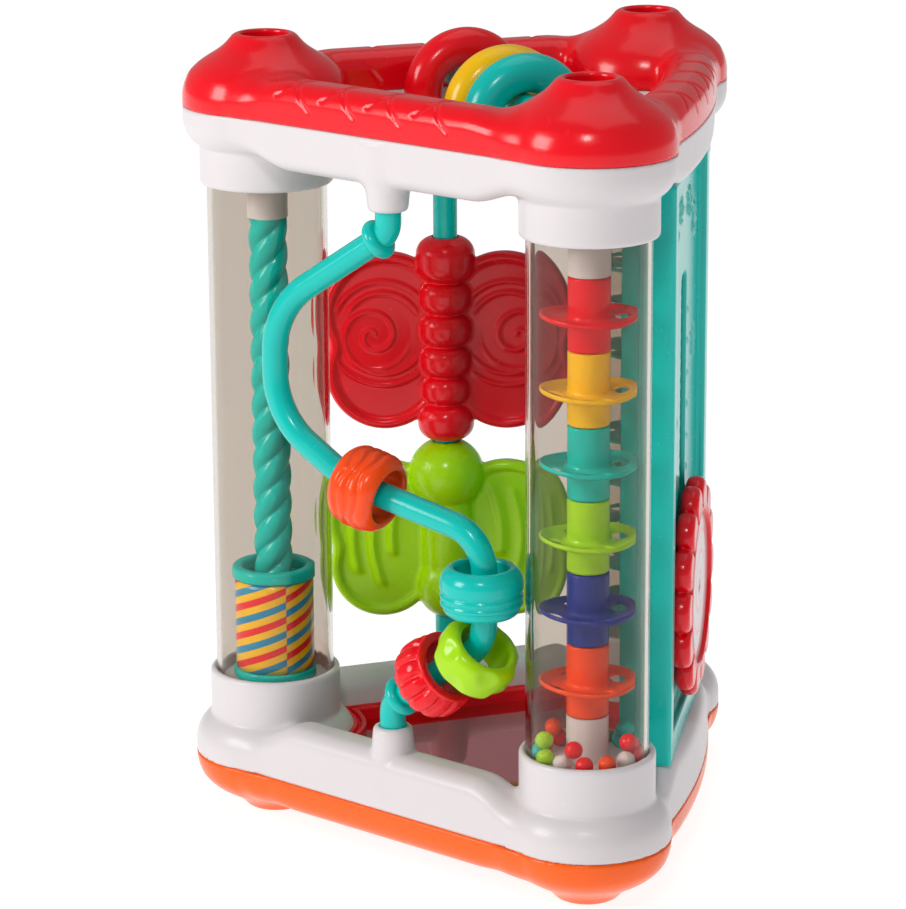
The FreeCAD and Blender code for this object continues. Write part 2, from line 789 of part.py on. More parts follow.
# rack teeth stand on the slot wall nearest the front tube
rack_line = -pinion_pitch_radius
rack_wall = -slot_half_width
tooth_low = slot_low_z + 0.5
rack = []
tooth_count = int((slot_high_z - slot_low_z - tooth_pitch) / tooth_pitch)
first_tooth = wheel_rest_z + tooth_pitch / 2.0
while first_tooth - tooth_pitch > slot_low_z + tooth_pitch * 0.4:
    first_tooth -= tooth_pitch
for index in range(tooth_count):
    z = first_tooth + index * tooth_pitch
    if z + tooth_pitch * 0.4 > slot_high_z:
        break
    tip = rack_line + tooth_height * 0.38
    points = [
        Vector(0, rack_wall - 0.5, z - tooth_pitch * 0.36),
        Vector(0, tip, z - tooth_pitch * 0.12),
        Vector(0, tip, z + tooth_pitch * 0.12),
        Vector(0, rack_wall - 0.5, z + tooth_pitch * 0.36),
    ]
    face = Part.Face(Part.makePolygon(points + [points[0]]))
    face.translate(Vector(panel_field_out - panel_skin, 0, 0))
    rack.append(face.extrude(Vector(panel_skin, 0, 0)))
front_shell = fuse([front_shell] + rack)
parts["panel_front"] = on_panel(front_shell)
parts["panel_back"] = on_panel(back_shell)
for name in ("panel_front", "panel_back"):
    for side_frame in (top_frame, base_frame, top_cover, base_cover):
        parts[name] = parts[name].cut(side_frame)
    pieces = sorted(parts[name].Solids, key=lambda solid: solid.Volume)
    parts[name] = pieces[-1]

# pinion, axle and wheel turn together on the carriage
wheel_back_out = panel_field_out + 1.0
wheel_front_out = wheel_back_out + wheel_thickness
carriage_back_out = panel_back_out + panel_skin + 3.4
carriage_front_out = panel_field_out - panel_skin - 0.4


def across(radius, low_out, high_out, z=0.0):
    return Part.makeCylinder(radius, high_out - low_out, Vector(low_out, 0, z), Vector(1, 0, 0))


def pinion_shape(low_out, high_out):
    root = pinion_pitch_radius - tooth_height * 0.55
    peak = pinion_pitch_radius + tooth_height * 0.38
    core = across(root, low_out, high_out)
    teeth = [core]
    for index in range(pinion_teeth):
        turn = 360.0 / pinion_teeth * index
        root_half = tooth_pitch * 0.24
        tip_half = tooth_pitch * 0.10
        points = [
            Vector(low_out, -peak, -tip_half),
            Vector(low_out, -peak, tip_half),
            Vector(low_out, -root + 0.6, root_half),
            Vector(low_out, -root + 0.6, -root_half),
        ]
        face = Part.Face(Part.makePolygon(points + [points[0]]))
        tooth = face.extrude(Vector(high_out - low_out, 0, 0))
        tooth.rotate(Vector(0, 0, 0), Vector(1, 0, 0), turn)
        teeth.append(tooth)
    return fuse(teeth)


wheel_middle = Vector(0, 0, wheel_rest_z)
pinion = pinion_shape(panel_field_out - panel_skin + 0.2, wheel_back_out)
pinion = pinion.fuse(across(3.0, carriage_back_out + 0.5, panel_field_out - panel_skin + 0.2))
pinion = pinion.fuse(across(4.0, wheel_back_out, wheel_back_out + 4.0)).removeSplitter()
petal_ring = wheel_radius - 9.4
wheel_blank = [across(petal_ring + 2.0, wheel_back_out, wheel_front_out)]
for index in range(wheel_petals):
    petal = across(9.4, wheel_back_out, wheel_front_out)
    petal.translate(Vector(0, petal_ring, 0))
    petal.rotate(Vector(0, 0, 0), Vector(1, 0, 0), 360.0 / wheel_petals * index)
    wheel_blank.append(petal)
wheel = fuse(wheel_blank)
wheel = wheel.cut(across(32.0, wheel_front_out - 1.6, wheel_front_out + 1.0))
wheel = wheel.cut(across(4.0, wheel_back_out - 1.0, wheel_back_out + 4.0))
sticker = across(31.8, wheel_front_out - 1.6, wheel_front_out - 1.0)
carriage = block(carriage_back_out, carriage_front_out, -cavity_half_width + free_gap,
                 cavity_half_width - free_gap, -14.0, 14.0)
carriage = carriage.cut(across(3.0 + turning_gap, carriage_back_out - 1.0, carriage_front_out + 1.0))
for node, shape in (("wheel_pinion", pinion), ("flower_wheel", wheel),
                    ("wheel_sticker", sticker), ("wheel_carriage", carriage)):
    shape.translate(wheel_middle)
    parts[node] = on_panel(shape)


# ------------------------------------------------------------- tray and mirror

tray_low_z = base_parting_z
tray_floor_z = tray_low_z + 3.4
tray_rim_z = tray_floor_z + 7.0
tray_out = bar_offset - bar_half_width + 1.0
tray = opening_prism(tray_low_z, tray_rim_z, tray_out, -1.0)
tray = tray.cut(opening_prism(tray_floor_z, tray_rim_z + 1.0, tray_out - 5.3, 4.3))
boss = put(cylinder(cone_root_radius + 0.6, tray_low_z - 1.0, tray_rim_z + 1.0), rod_foot)
front_boss = put(cylinder(cone_root_radius + 0.6, tray_low_z - 1.0, tray_rim_z + 1.0), wire_foot)
tray = cut(tray, [boss, front_boss, base_frame, base_cover])
mirror = opening_prism(tray_floor_z, tray_floor_z + 1.5, tray_out - 5.6, 4.6)
mirror = mirror.cut(boss).cut(front_boss)
parts["tray"] = tray
parts["mirror"] = mirror

parts["top_cover"] = top_cover
parts["top_frame"] = top_frame
parts["base_frame"] = base_frame
parts["base_cover"] = base_cover


# ------------------------------------------------------------------- screws

def screw(seat_z, sense, length):
    """Pan-head screw; sense +1 has its head above the seat."""
    low = min(seat_z, seat_z + sense * 2.6)
    head = cylinder(screw_head_radius, low, low + 2.6)
    tip = seat_z - sense * length
    shank = cylinder(screw_shank_radius, min(seat_z, tip), max(seat_z, tip))
    slot_level = seat_z + sense * 2.6
    recess = Part.makeBox(5.0, 1.0, 2.0, Vector(-2.5, -0.5, slot_level - 1.0))
    cross = Part.makeBox(1.0, 5.0, 2.0, Vector(-0.5, -2.5, slot_level - 1.0))
    return head.fuse(shank).cut(recess).cut(cross).removeSplitter()


top_seat_z = top_parting_z + 16.0 * top_depth / 29.3
base_seat_z = base_parting_z - 16.0 * base_parting_z / 29.3
top_screws = [put(screw(top_seat_z, 1, 26.0), tube_point(name)) for name in tube_angles]
base_screws = [put(screw(base_seat_z, -1, 24.0), tube_point(name)) for name in tube_angles]
parts["top_screws"] = Part.makeCompound(top_screws)
parts["base_screws"] = Part.makeCompound(base_screws)


# -------------------------------------------------------------------- output
# The origin is moved to the middle of the tower's own box, at the feet.

os.makedirs("parts", exist_ok=True)
whole = Part.makeCompound(list(parts.values())).optimalBoundingBox(False, False)
shift = Vector(-(whole.XMin + whole.XMax) / 2.0, -(whole.YMin + whole.YMax) / 2.0, 0.0)
for node, shape in parts.items():
    moved = shape.copy()
    moved.translate(shift)
    moved.exportStep("parts/" + node + ".step")
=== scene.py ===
import json
import math

import bpy
import numpy as np
from mathutils import Matrix, Vector


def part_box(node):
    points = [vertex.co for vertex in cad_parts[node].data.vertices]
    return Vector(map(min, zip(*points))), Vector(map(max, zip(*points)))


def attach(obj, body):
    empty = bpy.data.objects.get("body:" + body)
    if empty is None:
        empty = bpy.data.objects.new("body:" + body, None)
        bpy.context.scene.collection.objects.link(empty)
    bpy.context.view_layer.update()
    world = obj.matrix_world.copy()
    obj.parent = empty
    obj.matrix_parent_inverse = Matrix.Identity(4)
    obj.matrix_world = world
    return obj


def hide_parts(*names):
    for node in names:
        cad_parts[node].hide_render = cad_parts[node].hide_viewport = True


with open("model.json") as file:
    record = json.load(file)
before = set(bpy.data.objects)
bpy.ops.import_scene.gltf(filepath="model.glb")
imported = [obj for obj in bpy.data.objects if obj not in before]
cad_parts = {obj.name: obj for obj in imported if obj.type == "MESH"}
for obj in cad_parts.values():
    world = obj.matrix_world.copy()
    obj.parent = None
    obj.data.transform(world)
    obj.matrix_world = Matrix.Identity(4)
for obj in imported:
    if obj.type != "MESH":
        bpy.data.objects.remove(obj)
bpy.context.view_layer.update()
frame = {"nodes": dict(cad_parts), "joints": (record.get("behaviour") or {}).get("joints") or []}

bl_info = {
    "name": "Baby activity tower",
    "version": (1, 0, 0),
    "blender": (4, 5, 0),
    "location": "3D View > Sidebar > Activity Tower",
    "description": "Makes the moulded shells, beads, butterflies and finishes of a baby activity tower",
    "category": "Object",
}

# Shapes are worked out in millimetres in the tower's own frame and stored in metres.
MM = 0.001


# ------------------------------------------------------------------ places

def box_mm(node):
    low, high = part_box(node)
    return np.array(low) / MM, np.array(high) / MM


def middle_mm(node):
    low, high = box_mm(node)
    return (low + high) / 2.0


def joint_axis(name):
    joint = [j for j in frame["joints"] if j["name"] == name][0]
    return Vector(joint["axis"]).normalized()


TUBES = {name: middle_mm(name + "_tube")[:2] for name in ("left", "front", "back")}
CENTRE = sum(TUBES.values()) / 3.0
HALF_SIDE = float(np.hypot(*(TUBES["front"] - TUBES["left"]))) / 2.0
LINE_OUT = HALF_SIDE / math.sqrt(3.0)
SIDE_ANGLES = {"front": 270.0, "right": 30.0, "left": 150.0}

TOP_PARTING = box_mm("top_cover")[0][2]
BASE_PARTING = box_mm("base_cover")[1][2]
COVER_TOP = box_mm("top_cover")[1][2]
TOP_RIM = box_mm("top_frame")[0][2]
BASE_RIM = box_mm("base_frame")[1][2]
TUBE_LOW = box_mm("left_tube")[0][2]
TUBE_HIGH = box_mm("left_tube")[1][2]
FLOOR_LEVEL = box_mm("auger")[0][2]
CEILING_LEVEL = box_mm("auger_post")[1][2]
ROD_PLACE = middle_mm("butterfly_rod")[:2]

# Corners of the covers and frames.
CORNER_RADIUS = 34.2
NOSE_RADIUS = 12.6
WELL_RADIUS = 9.8
COLLAR_RADIUS = 27.6
SEAT_RADIUS = 25.1
PLUG_RADIUS = 22.9
DEEP = 30.0

# Bars between the corners: half width, place outside the line of tubes, and heights.
BAR_HALF = 11.15
BAR_OFFSET = 21.15
RIGHT_BOW = 4.5
TOP_COVER_BAR = 16.6
TOP_FRAME_BAR = 20.3
BASE_COVER_BAR = 15.0
BASE_FRAME_BAR = 23.5
BAR_END = 13.5
DROP_START = 38.0
DROP_END = 10.0
FILLET_START = 20.0
FILLET_END = 2.0
SEAM = 0.12

# Cones that hold the ends of the wire and of the butterfly rod.
CONE_TIP = 8.0
CONE_SLOPE = 0.105
CONE_REACH = 10.4
CONE_DEPTH = 11.0
ROD_RADIUS = 5.2


def side_vectors(side):
    """Outward and forward unit vectors of one side, in plan."""
    turn = math.radians(SIDE_ANGLES[side])
    outward = np.array([math.cos(turn), math.sin(turn)])
    forward = np.array([-math.sin(turn), math.cos(turn)])
    return outward, forward


def side_point(side, along, out, z):
    outward, forward = side_vectors(side)
    place = CENTRE + outward * (LINE_OUT + out) + forward * along
    return np.array([place[0], place[1], z])


def side_coordinates(side, x, y):
    """Distance outwards from the line of tubes, and distance along it."""
    outward, forward = side_vectors(side)
    out = (x - CENTRE[0]) * outward[0] + (y - CENTRE[1]) * outward[1] - LINE_OUT
    along = (x - CENTRE[0]) * forward[0] + (y - CENTRE[1]) * forward[1]
    return out, along


# ---------------------------------------------------- shapes as distance fields
# Each returns how far a point is outside the surface, negative inside.

def join(first, second, soft):
    """Union with a fillet of about the given size."""
    share = np.clip(0.5 + 0.5 * (second - first) / soft, 0.0, 1.0)
    return second + (first - second) * share - soft * share * (1.0 - share)


def carve(first, second, soft):
    """First without second, with a rounded lip."""
    return -join(-first, second, soft)


def block(parts, soft):
    """Rounded box; parts are (coordinate, half size) pairs."""
    reach = [np.abs(value) - (half - soft) for value, half in parts]
    outside = np.sqrt(sum(np.maximum(part, 0.0) ** 2 for part in reach))
    inside = reach[0]
    for part in reach[1:]:
        inside = np.maximum(inside, part)
    return outside + np.minimum(inside, 0.0) - soft


def drum(radial, z, radius, low, high, soft):
    """Rounded upright cylinder."""
    across = radial - (radius - soft)
    upright = np.abs(z - (low + high) / 2.0) - ((high - low) / 2.0 - soft)
    outside = np.hypot(np.maximum(across, 0.0), np.maximum(upright, 0.0))
    return outside + np.minimum(np.maximum(across, upright), 0.0) - soft


def ball(x, y, z, radius):
    return np.sqrt(x * x + y * y + z * z) - radius


def smooth_step(value, low, high):
    share = np.clip((value - low) / (high - low), 0.0, 1.0)
    return share * share * (3.0 - 2.0 * share)


def stroke(first, second, start, end, bow, width):
    """Strength, 0 to 1, of a thin bowed line between two places of a surface."""
    run = np.array(end, float) - np.array(start, float)
    size = float(np.hypot(*run))
    run = run / size
    share = ((first - start[0]) * run[0] + (second - start[1]) * run[1]) / size
    offset = (second - start[1]) * run[0] - (first - start[0]) * run[1]
    miss = offset - bow * 4.0 * share * (1.0 - share)
    fade = smooth_step(share, -0.02, 0.08) * (1.0 - smooth_step(share, 0.9, 1.02))
    return np.exp(-((miss / width) ** 2)) * fade


# ------------------------------------------------------------- mesh making

def probe(field, points):
    """The field and its slope at each point."""
    step = 0.02
    x, y, z = points.T
    value = field(x, y, z)
    slope = np.stack([
        field(x + step, y, z) - value,
        field(x, y + step, z) - value,
        field(x, y, z + step) - value,
    ], 1) / step
    return value, slope


def settle(field, points, cell, steps):
    """Moves points onto the surface along its slope."""
    for _ in range(steps):
        value, slope = probe(field, points)
        size = np.maximum((slope * slope).sum(1), 0.05)
        shift = slope * (value / size)[:, None]
        far = np.maximum(np.sqrt((shift * shift).sum(1)) / cell, 1.0)
        points = points - shift / far[:, None]
    return points


def relax(points, quads):
    """Evens out the spacing of points by moving each towards its neighbours."""
    start = quads.ravel()
    end = np.roll(quads, -1, 1).ravel()
    count = np.maximum(np.bincount(start, minlength=len(points)), 1)
    mean = np.stack([np.bincount(start, points[end, k], len(points)) / count for k in range(3)], 1)
    return points * 0.4 + mean * 0.6


def surface_net(field, low, high, cell, detail=None):
    """Closed mesh of quads where the field crosses zero; detail raises it outwards."""
    low = np.array(low, float) - 1.5 * cell
    high = np.array(high, float) + 1.5 * cell
    counts = np.ceil((high - low) / cell).astype(int) + 1
    axes = [(low[k] + cell * np.arange(counts[k])).astype(np.float32) for k in range(3)]
    x = axes[0][:, None, None]
    y = axes[1][None, :, None]
    z = axes[2][None, None, :]
    inside = np.ascontiguousarray(np.broadcast_to(field(x, y, z), counts) < 0)
    corners = np.zeros(counts - 1, np.int8)
    for i in (0, 1):
        for j in (0, 1):
            for k in (0, 1):
                corners += inside[i:counts[0] - 1 + i, j:counts[1] - 1 + j, k:counts[2] - 1 + k]
    active = (corners > 0) & (corners < 8)
    index = np.full(active.shape, -1, np.int64)
    index[active] = np.arange(int(active.sum()))
    points = low + (np.argwhere(active) + 0.5) * cell
    quads = []
    for a in range(3):
        order = (a, (a + 1) % 3, (a + 2) % 3)
        grid = np.transpose(inside, order)
        cells = np.transpose(index, order)
        here = grid[:-1, 1:-1, 1:-1]
        there = grid[1:, 1:-1, 1:-1]
        i, j, k = np.nonzero(here != there)
        out = here[i, j, k]
        quad = np.stack([cells[i, j, k], cells[i, j + 1, k], cells[i, j + 1, k + 1], cells[i, j, k + 1]], 1)
        quad[~out] = quad[~out][:, ::-1]
        quads.append(quad)
    quads = np.concatenate(quads)
    points = settle(field, points, cell, 3)
    for _ in range(2):
        points = relax(points, quads)
        points = settle(field, points, cell, 2)
    if detail is not None:
        value, slope = probe(field, points)
        slope = slope / np.maximum(np.sqrt((slope * slope).sum(1)), 1e-6)[:, None]
        points = points + slope * detail(*points.T)[:, None]
    return points, quads


def lattice(rows, around=True, along=True):
    """Quads over a grid of points, closed around each row and along the rows."""
    rows = np.asarray(rows, float)
    count, width = rows.shape[:2]
    index = np.arange(count * width).reshape(count, width)
    last = count if along else count - 1
    edge = width if around else width - 1
    i = np.arange(last)[:, None]
    j = np.arange(edge)[None, :]
    quads = np.stack([
        index[i % count, j % width],
        index[i % count, (j + 1) % width],
        index[(i + 1) % count, (j + 1) % width],
        index[(i + 1) % count, j % width],
    ], -1).reshape(-1, 4)
    return rows.reshape(-1, 3), quads


def rounded_loop(corners, soft, steps=5):
    """Closed (radius, z) outline with an arc of its own size at every corner."""
    outline = []
    count = len(corners)
    for index in range(count):
        here = np.array(corners[index], float)
        before = np.array(corners[index - 1], float) - here
        after = np.array(corners[(index + 1) % count], float) - here
        size = soft[index] if isinstance(soft, (list, tuple)) else soft
        start = here + before / np.hypot(*before) * size
        end = here + after / np.hypot(*after) * size
        for share in np.linspace(0.0, 1.0, steps):
            near = start * (1 - share) ** 2 + 2 * here * share * (1 - share) + end * share ** 2
            outline.append(near)
    return np.array(outline)


def turned(outline, segments):
    """Surface of revolution of a closed (radius, z) outline."""
    turn = np.linspace(0.0, 2.0 * math.pi, segments, endpoint=False)
    rows = np.stack([
        outline[:, 0][:, None] * np.cos(turn),
        outline[:, 0][:, None] * np.sin(turn),
        np.repeat(outline[:, 1][:, None], segments, 1),
    ], -1)
    return lattice(rows)


def add_piece(name, points, quads, place, body, material, replaces=(), turn=None):
    """Stores a mesh worked out about its own middle and lets it ride on a body."""
    if turn is not None:
        points = np.asarray(points) @ np.array(turn).T
    mesh = bpy.data.meshes.new(name)
    mesh.vertices.add(len(points))
    mesh.vertices.foreach_set("co", (np.asarray(points) * MM).astype(np.float32).ravel())
    mesh.loops.add(quads.size)
    mesh.loops.foreach_set("vertex_index", quads.astype(np.int32).ravel())
    mesh.polygons.add(len(quads))
    mesh.polygons.foreach_set("loop_start", np.arange(0, quads.size, 4, dtype=np.int32))
    mesh.update(calc_edges=True)
    mesh.validate()
    mesh.polygons.foreach_set("use_smooth", np.ones(len(mesh.polygons), bool))
    mesh.materials.append(material)
    piece = bpy.data.objects.new(name, mesh)
    bpy.context.scene.collection.objects.link(piece)
    piece.matrix_world = Matrix.Translation(Vector(place) * MM)
    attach(piece, body)
    if replaces:
        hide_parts(*replaces)
    return piece


def add_field(name, field, low, high, cell, place, body, material, replaces=(), turn=None, detail=None):
    points, quads = surface_net(field, low, high, cell, detail)
    return add_piece(name, points, quads, place, body, material, replaces, turn)


def dress(node, material):
    """Gives a construction part its finish."""
    part = frame["nodes"][node]
    part.data.materials.clear()
    part.data.materials.append(material)
    part.data.polygons.foreach_set("material_index", np.zeros(len(part.data.polygons), np.int32))


def turn_about_z(degrees):
    return Matrix.Rotation(math.radians(degrees), 3, "Z")


def turn_towards(heading):
    """Rotation that takes +Z to the heading."""
    return Vector((0, 0, 1)).rotation_difference(Vector(heading)).to_matrix()


# ----------------------------------------------------------------- materials

def linear(red, green, blue):
    """Scene-linear colour from an ordinary 0 to 255 screen colour."""
    values = []
    for part in (red, green, blue):
        part = part / 255.0
        values.append(part / 12.92 if part <= 0.04045 else ((part + 0.055) / 1.055) ** 2.4)
    return tuple(values)


COLOURS = {
    "red": linear(238, 6, 26),
    "white": linear(220, 213, 215),
    "orange": linear(255, 98, 0),
    "coral": linear(252, 76, 10),
    "teal": linear(0, 194, 184),
    "lime": linear(168, 222, 0),
    "yellow": linear(250, 196, 0),
    "blue": linear(34, 52, 146),
    "clear": linear(219, 212, 204),
    "mirror": linear(222, 128, 134),
    "steel": linear(190, 190, 194),
}


def node(tree, kind, **settings):
    made = tree.nodes.new(kind)
    for key, value in settings.items():
        setattr(made, key, value)
    return made


def calc(tree, operation, first, second):
    """Math node; each input is a number or a socket."""
    made = node(tree, "ShaderNodeMath", operation=operation)
    for place, value in enumerate((first, second)):
        if isinstance(value, (int, float)):
            made.inputs[place].default_value = value
        else:
            tree.links.new(value, made.inputs[place])
    return made.outputs[0]


def noise(tree, vector, scale, detail=2.0):
    made = node(tree, "ShaderNodeTexNoise")
    made.inputs["Scale"].default_value = scale
    made.inputs["Detail"].default_value = detail
    tree.links.new(vector, made.inputs["Vector"])
    return made.outputs["Fac"]


def moulded_finish():
    """Shared finish of moulded plastic: drifting colour, fine grain and light scuffs."""
    known = bpy.data.node_groups.get("moulded_finish")
    if known:
        return known
    tree = bpy.data.node_groups.new("moulded_finish", "ShaderNodeTree")
    face = tree.interface
    face.new_socket("Colour", in_out="INPUT", socket_type="NodeSocketColor")
    for name, value in (("Drift", 0.06), ("Gloss", 0.25), ("Scuffs", 0.12)):
        made = face.new_socket(name, in_out="INPUT", socket_type="NodeSocketFloat")
        made.default_value = value
    face.new_socket("Colour", in_out="OUTPUT", socket_type="NodeSocketColor")
    face.new_socket("Roughness", in_out="OUTPUT", socket_type="NodeSocketFloat")
    face.new_socket("Height", in_out="OUTPUT", socket_type="NodeSocketFloat")
    given = node(tree, "NodeGroupInput")
    result = node(tree, "NodeGroupOutput")
    place = node(tree, "ShaderNodeTexCoord").outputs["Object"]
    cloud = noise(tree, place, 16.0)
    grain = noise(tree, place, 900.0, 1.0)
    patches = noise(tree, place, 60.0, 3.0)
    stretch = node(tree, "ShaderNodeMapping")
    stretch.inputs["Scale"].default_value = (1.0, 0.18, 0.7)
    stretch.inputs["Rotation"].default_value = (0.4, 0.7, 0.9)
    tree.links.new(place, stretch.inputs["Vector"])
    lines = noise(tree, stretch.outputs["Vector"], 420.0, 3.0)
    narrow = node(tree, "ShaderNodeMapRange")
    narrow.inputs["From Min"].default_value = 0.66
    narrow.inputs["From Max"].default_value = 0.74
    tree.links.new(lines, narrow.inputs["Value"])
    scuff = calc(tree, "MULTIPLY", narrow.outputs[0], given.outputs["Scuffs"])
    drift = calc(tree, "MULTIPLY", calc(tree, "SUBTRACT", cloud, 0.5), given.outputs["Drift"])
    lift = calc(tree, "ADD", calc(tree, "MULTIPLY", scuff, 0.25), calc(tree, "ADD", drift, 1.0))
    shade = node(tree, "ShaderNodeHueSaturation")
    tree.links.new(lift, shade.inputs["Value"])
    tree.links.new(given.outputs["Colour"], shade.inputs["Color"])
    tree.links.new(shade.outputs["Color"], result.inputs["Colour"])
    mottle = calc(tree, "MULTIPLY", calc(tree, "SUBTRACT", patches, 0.5), 0.09)
    rough = calc(tree, "ADD", calc(tree, "ADD", given.outputs["Gloss"], mottle), scuff)
    tree.links.new(rough, result.inputs["Roughness"])
    height = calc(tree, "SUBTRACT", calc(tree, "MULTIPLY", grain, 0.35), scuff)
    tree.links.new(height, result.inputs["Height"])
    return tree


def start_material(name):
    material = bpy.data.materials.new(name)
    material.use_nodes = True
    tree = material.node_tree
    tree.nodes.clear()
    shader = node(tree, "ShaderNodeBsdfPrincipled")
    output = node(tree, "ShaderNodeOutputMaterial")
    tree.links.new(shader.outputs[0], output.inputs["Surface"])
    return material, tree, shader


def finish_shader(tree, shader, colour, gloss, drift=0.06, scuffs=0.12, depth=0.00012):
    """Feeds a shader from the shared finish; colour is a value or a socket."""
    finish = node(tree, "ShaderNodeGroup")
    finish.node_tree = moulded_finish()
    if isinstance(colour, bpy.types.NodeSocket):
        tree.links.new(colour, finish.inputs["Colour"])
    else:
        finish.inputs["Colour"].default_value = (*colour, 1.0)
    finish.inputs["Drift"].default_value = drift
    finish.inputs["Gloss"].default_value = gloss
    finish.inputs["Scuffs"].default_value = scuffs
    bump = node(tree, "ShaderNodeBump")
    bump.inputs["Strength"].default_value = 0.35
    bump.inputs["Distance"].default_value = depth
    tree.links.new(finish.outputs["Colour"], shader.inputs["Base Color"])
    tree.links.new(finish.outputs["Roughness"], shader.inputs["Roughness"])
    tree.links.new(finish.outputs["Height"], bump.inputs["Height"])
    tree.links.new(bump.outputs["Normal"], shader.inputs["Normal"])


def plastic(name, colour, gloss=0.22, coat=0.06, drift=0.06, scuffs=0.12):
    known = bpy.data.materials.get(name)
    if known:
        return known
    material, tree, shader = start_material(name)
    shader.inputs["IOR"].default_value = 1.42
    shader.inputs["Coat Weight"].default_value = coat
    shader.inputs["Coat Roughness"].default_value = 0.08
    finish_shader(tree, shader, colour, gloss, drift, scuffs)
    return material


def colours():
    return bpy.context.scene.tower_colours


def paint(name):
    """The tower's plastic of that colour."""
    gloss = {"white": 0.34, "teal": 0.2, "red": 0.2, "orange": 0.27}.get(name, 0.22)
    drift = 0.03 if name == "white" else 0.07
    return plastic(name + "_finish", tuple(getattr(colours(), name)), gloss, 0.06, drift)


def clear_plastic():
    known = bpy.data.materials.get("clear_finish")
    if known:
        return known
    material, tree, shader = start_material("clear_finish")
    shader.inputs["IOR"].default_value = 1.27
    shader.inputs["Transmission Weight"].default_value = 1.0
    finish_shader(tree, shader, tuple(colours().clear), 0.0, 0.02, 0.02, 0.00001)
    open_way = node(tree, "ShaderNodeBsdfTransparent")
    open_way.inputs["Color"].default_value = (0.98, 0.98, 0.98, 1.0)
    path = node(tree, "ShaderNodeLightPath")
    mix = node(tree, "ShaderNodeMixShader")
    tree.links.new(path.outputs["Is Shadow Ray"], mix.inputs[0])
    tree.links.new(shader.outputs[0], mix.inputs[1])
    tree.links.new(open_way.outputs[0], mix.inputs[2])
    tree.links.new(mix.outputs[0], tree.get_output_node("ALL").inputs["Surface"])
    return material


def metal(name, colour, gloss, scuffs=0.1):
    known = bpy.data.materials.get(name)
    if known:
        return known
    material, tree, shader = start_material(name)
    shader.inputs["Metallic"].default_value = 1.0
    finish_shader(tree, shader, colour, gloss, 0.04, scuffs, 0.00006)
    return material


def banded_colour(tree, phase, bands):
    """Colour socket of equal hard-edged bands, one after another as phase goes 0 to 1."""
    ramp = node(tree, "ShaderNodeValToRGB")
    ramp.color_ramp.interpolation = "CONSTANT"
    keys = ramp.color_ramp.elements
    while len(keys) < len(bands):
        keys.new(0.5)
    for place, colour in enumerate(bands):
        keys[place].position = place / len(bands)
        keys[place].color = (*colour, 1.0)
    tree.links.new(phase, ramp.inputs["Fac"])
    return ramp.outputs["Color"]


def striped_label():
    """Printed sleeve: slanted yellow stripes between red and blue ones."""
    settings = bpy.context.scene.tower_details
    material, tree, shader = start_material("label_finish")
    place = node(tree, "ShaderNodeUVMap", uv_map="print")
    split = node(tree, "ShaderNodeSeparateXYZ")
    tree.links.new(place.outputs["UV"], split.inputs[0])
    around = calc(tree, "MULTIPLY", split.outputs["X"], settings.stripe_turns)
    up = calc(tree, "MULTIPLY", split.outputs["Y"], -settings.stripe_rows)
    phase = calc(tree, "FRACT", calc(tree, "ADD", around, calc(tree, "ADD", up, 20.0)), 0.0)
    tint = colours()
    bands = [tuple(tint.yellow), tuple(tint.red), tuple(tint.yellow), tuple(tint.teal_print)]
    shader.inputs["Coat Weight"].default_value = 0.5
    shader.inputs["Coat Roughness"].default_value = 0.12
    finish_shader(tree, shader, banded_colour(tree, phase, bands), 0.3, 0.08, 0.2)
    return material


def spiral_sticker():
    """Printed disc: a faint spiral about its middle."""
    material, tree, shader = start_material("sticker_finish")
    place = node(tree, "ShaderNodeUVMap", uv_map="print")
    split = node(tree, "ShaderNodeSeparateXYZ")
    tree.links.new(place.outputs["UV"], split.inputs[0])
    phase = calc(tree, "FRACT", calc(tree, "ADD", split.outputs["Y"], split.outputs["X"]), 0.0)
    pale = linear(204, 178, 180)
    blush = linear(214, 120, 128)
    shader.inputs["Coat Weight"].default_value = 0.4
    bands = [pale, pale, pale, blush]
    finish_shader(tree, shader, banded_colour(tree, phase, bands), 0.3, 0.03, 0.1)
    return material


# -------------------------------------------------------------------- frames

def bar_place(side, x, y):
    """Distance out from a bar's own middle line, and distance along the side."""
    out, along = side_coordinates(side, x, y)
    if side != "right":
        return out - BAR_OFFSET, along
    reach = HALF_SIDE - CORNER_RADIUS * 0.7
    bend = (reach * reach + RIGHT_BOW * RIGHT_BOW) / (2.0 * RIGHT_BOW)
    return np.hypot(out - (BAR_OFFSET + RIGHT_BOW - bend), along) - bend, along


def shell(x, y, rise, corner, bar_height, bar_soft, taper, soft):
    """Three corners joined by three bars, above a flat parting face."""
    value = None
    for tube in TUBES.values():
        part = corner(np.hypot(x - tube[0], y - tube[1]), rise)
        value = part if value is None else np.minimum(value, part)
    for side in SIDE_ANGLES:
        across, along = bar_place(side, x, y)
        drop = smooth_step(np.abs(along), HALF_SIDE - DROP_START, HALF_SIDE - DROP_END)
        height = bar_height + (min(bar_height, BAR_END) - bar_height) * drop
        section = block([(np.abs(across) + taper * rise, BAR_HALF), (rise, height)], bar_soft)
        fade = 1.0 - smooth_step(np.abs(along), HALF_SIDE - FILLET_START, HALF_SIDE - FILLET_END)
        fillet = 0.4 + soft * fade
        value = join(value, np.maximum(section, np.abs(along) - HALF_SIDE), fillet)
    return np.maximum(value, SEAM - rise)


def cover_corner(depth):
    scale = depth / (COVER_TOP - TOP_PARTING)

    def corner(radial, rise):
        shoulder = drum(radial, rise, CORNER_RADIUS, -DEEP, 19.4 * scale, 16.0)
        slope = np.clip(depth - rise, 0.0, 16.0) * 0.86
        nose = 0.76 * drum(radial - slope, rise, NOSE_RADIUS, -DEEP, depth, 1.4)
        well = drum(radial, rise, WELL_RADIUS, 16.0 * scale, depth + DEEP, 0.8)
        return carve(join(shoulder, nose, 7.0), well, 0.9)
    return corner


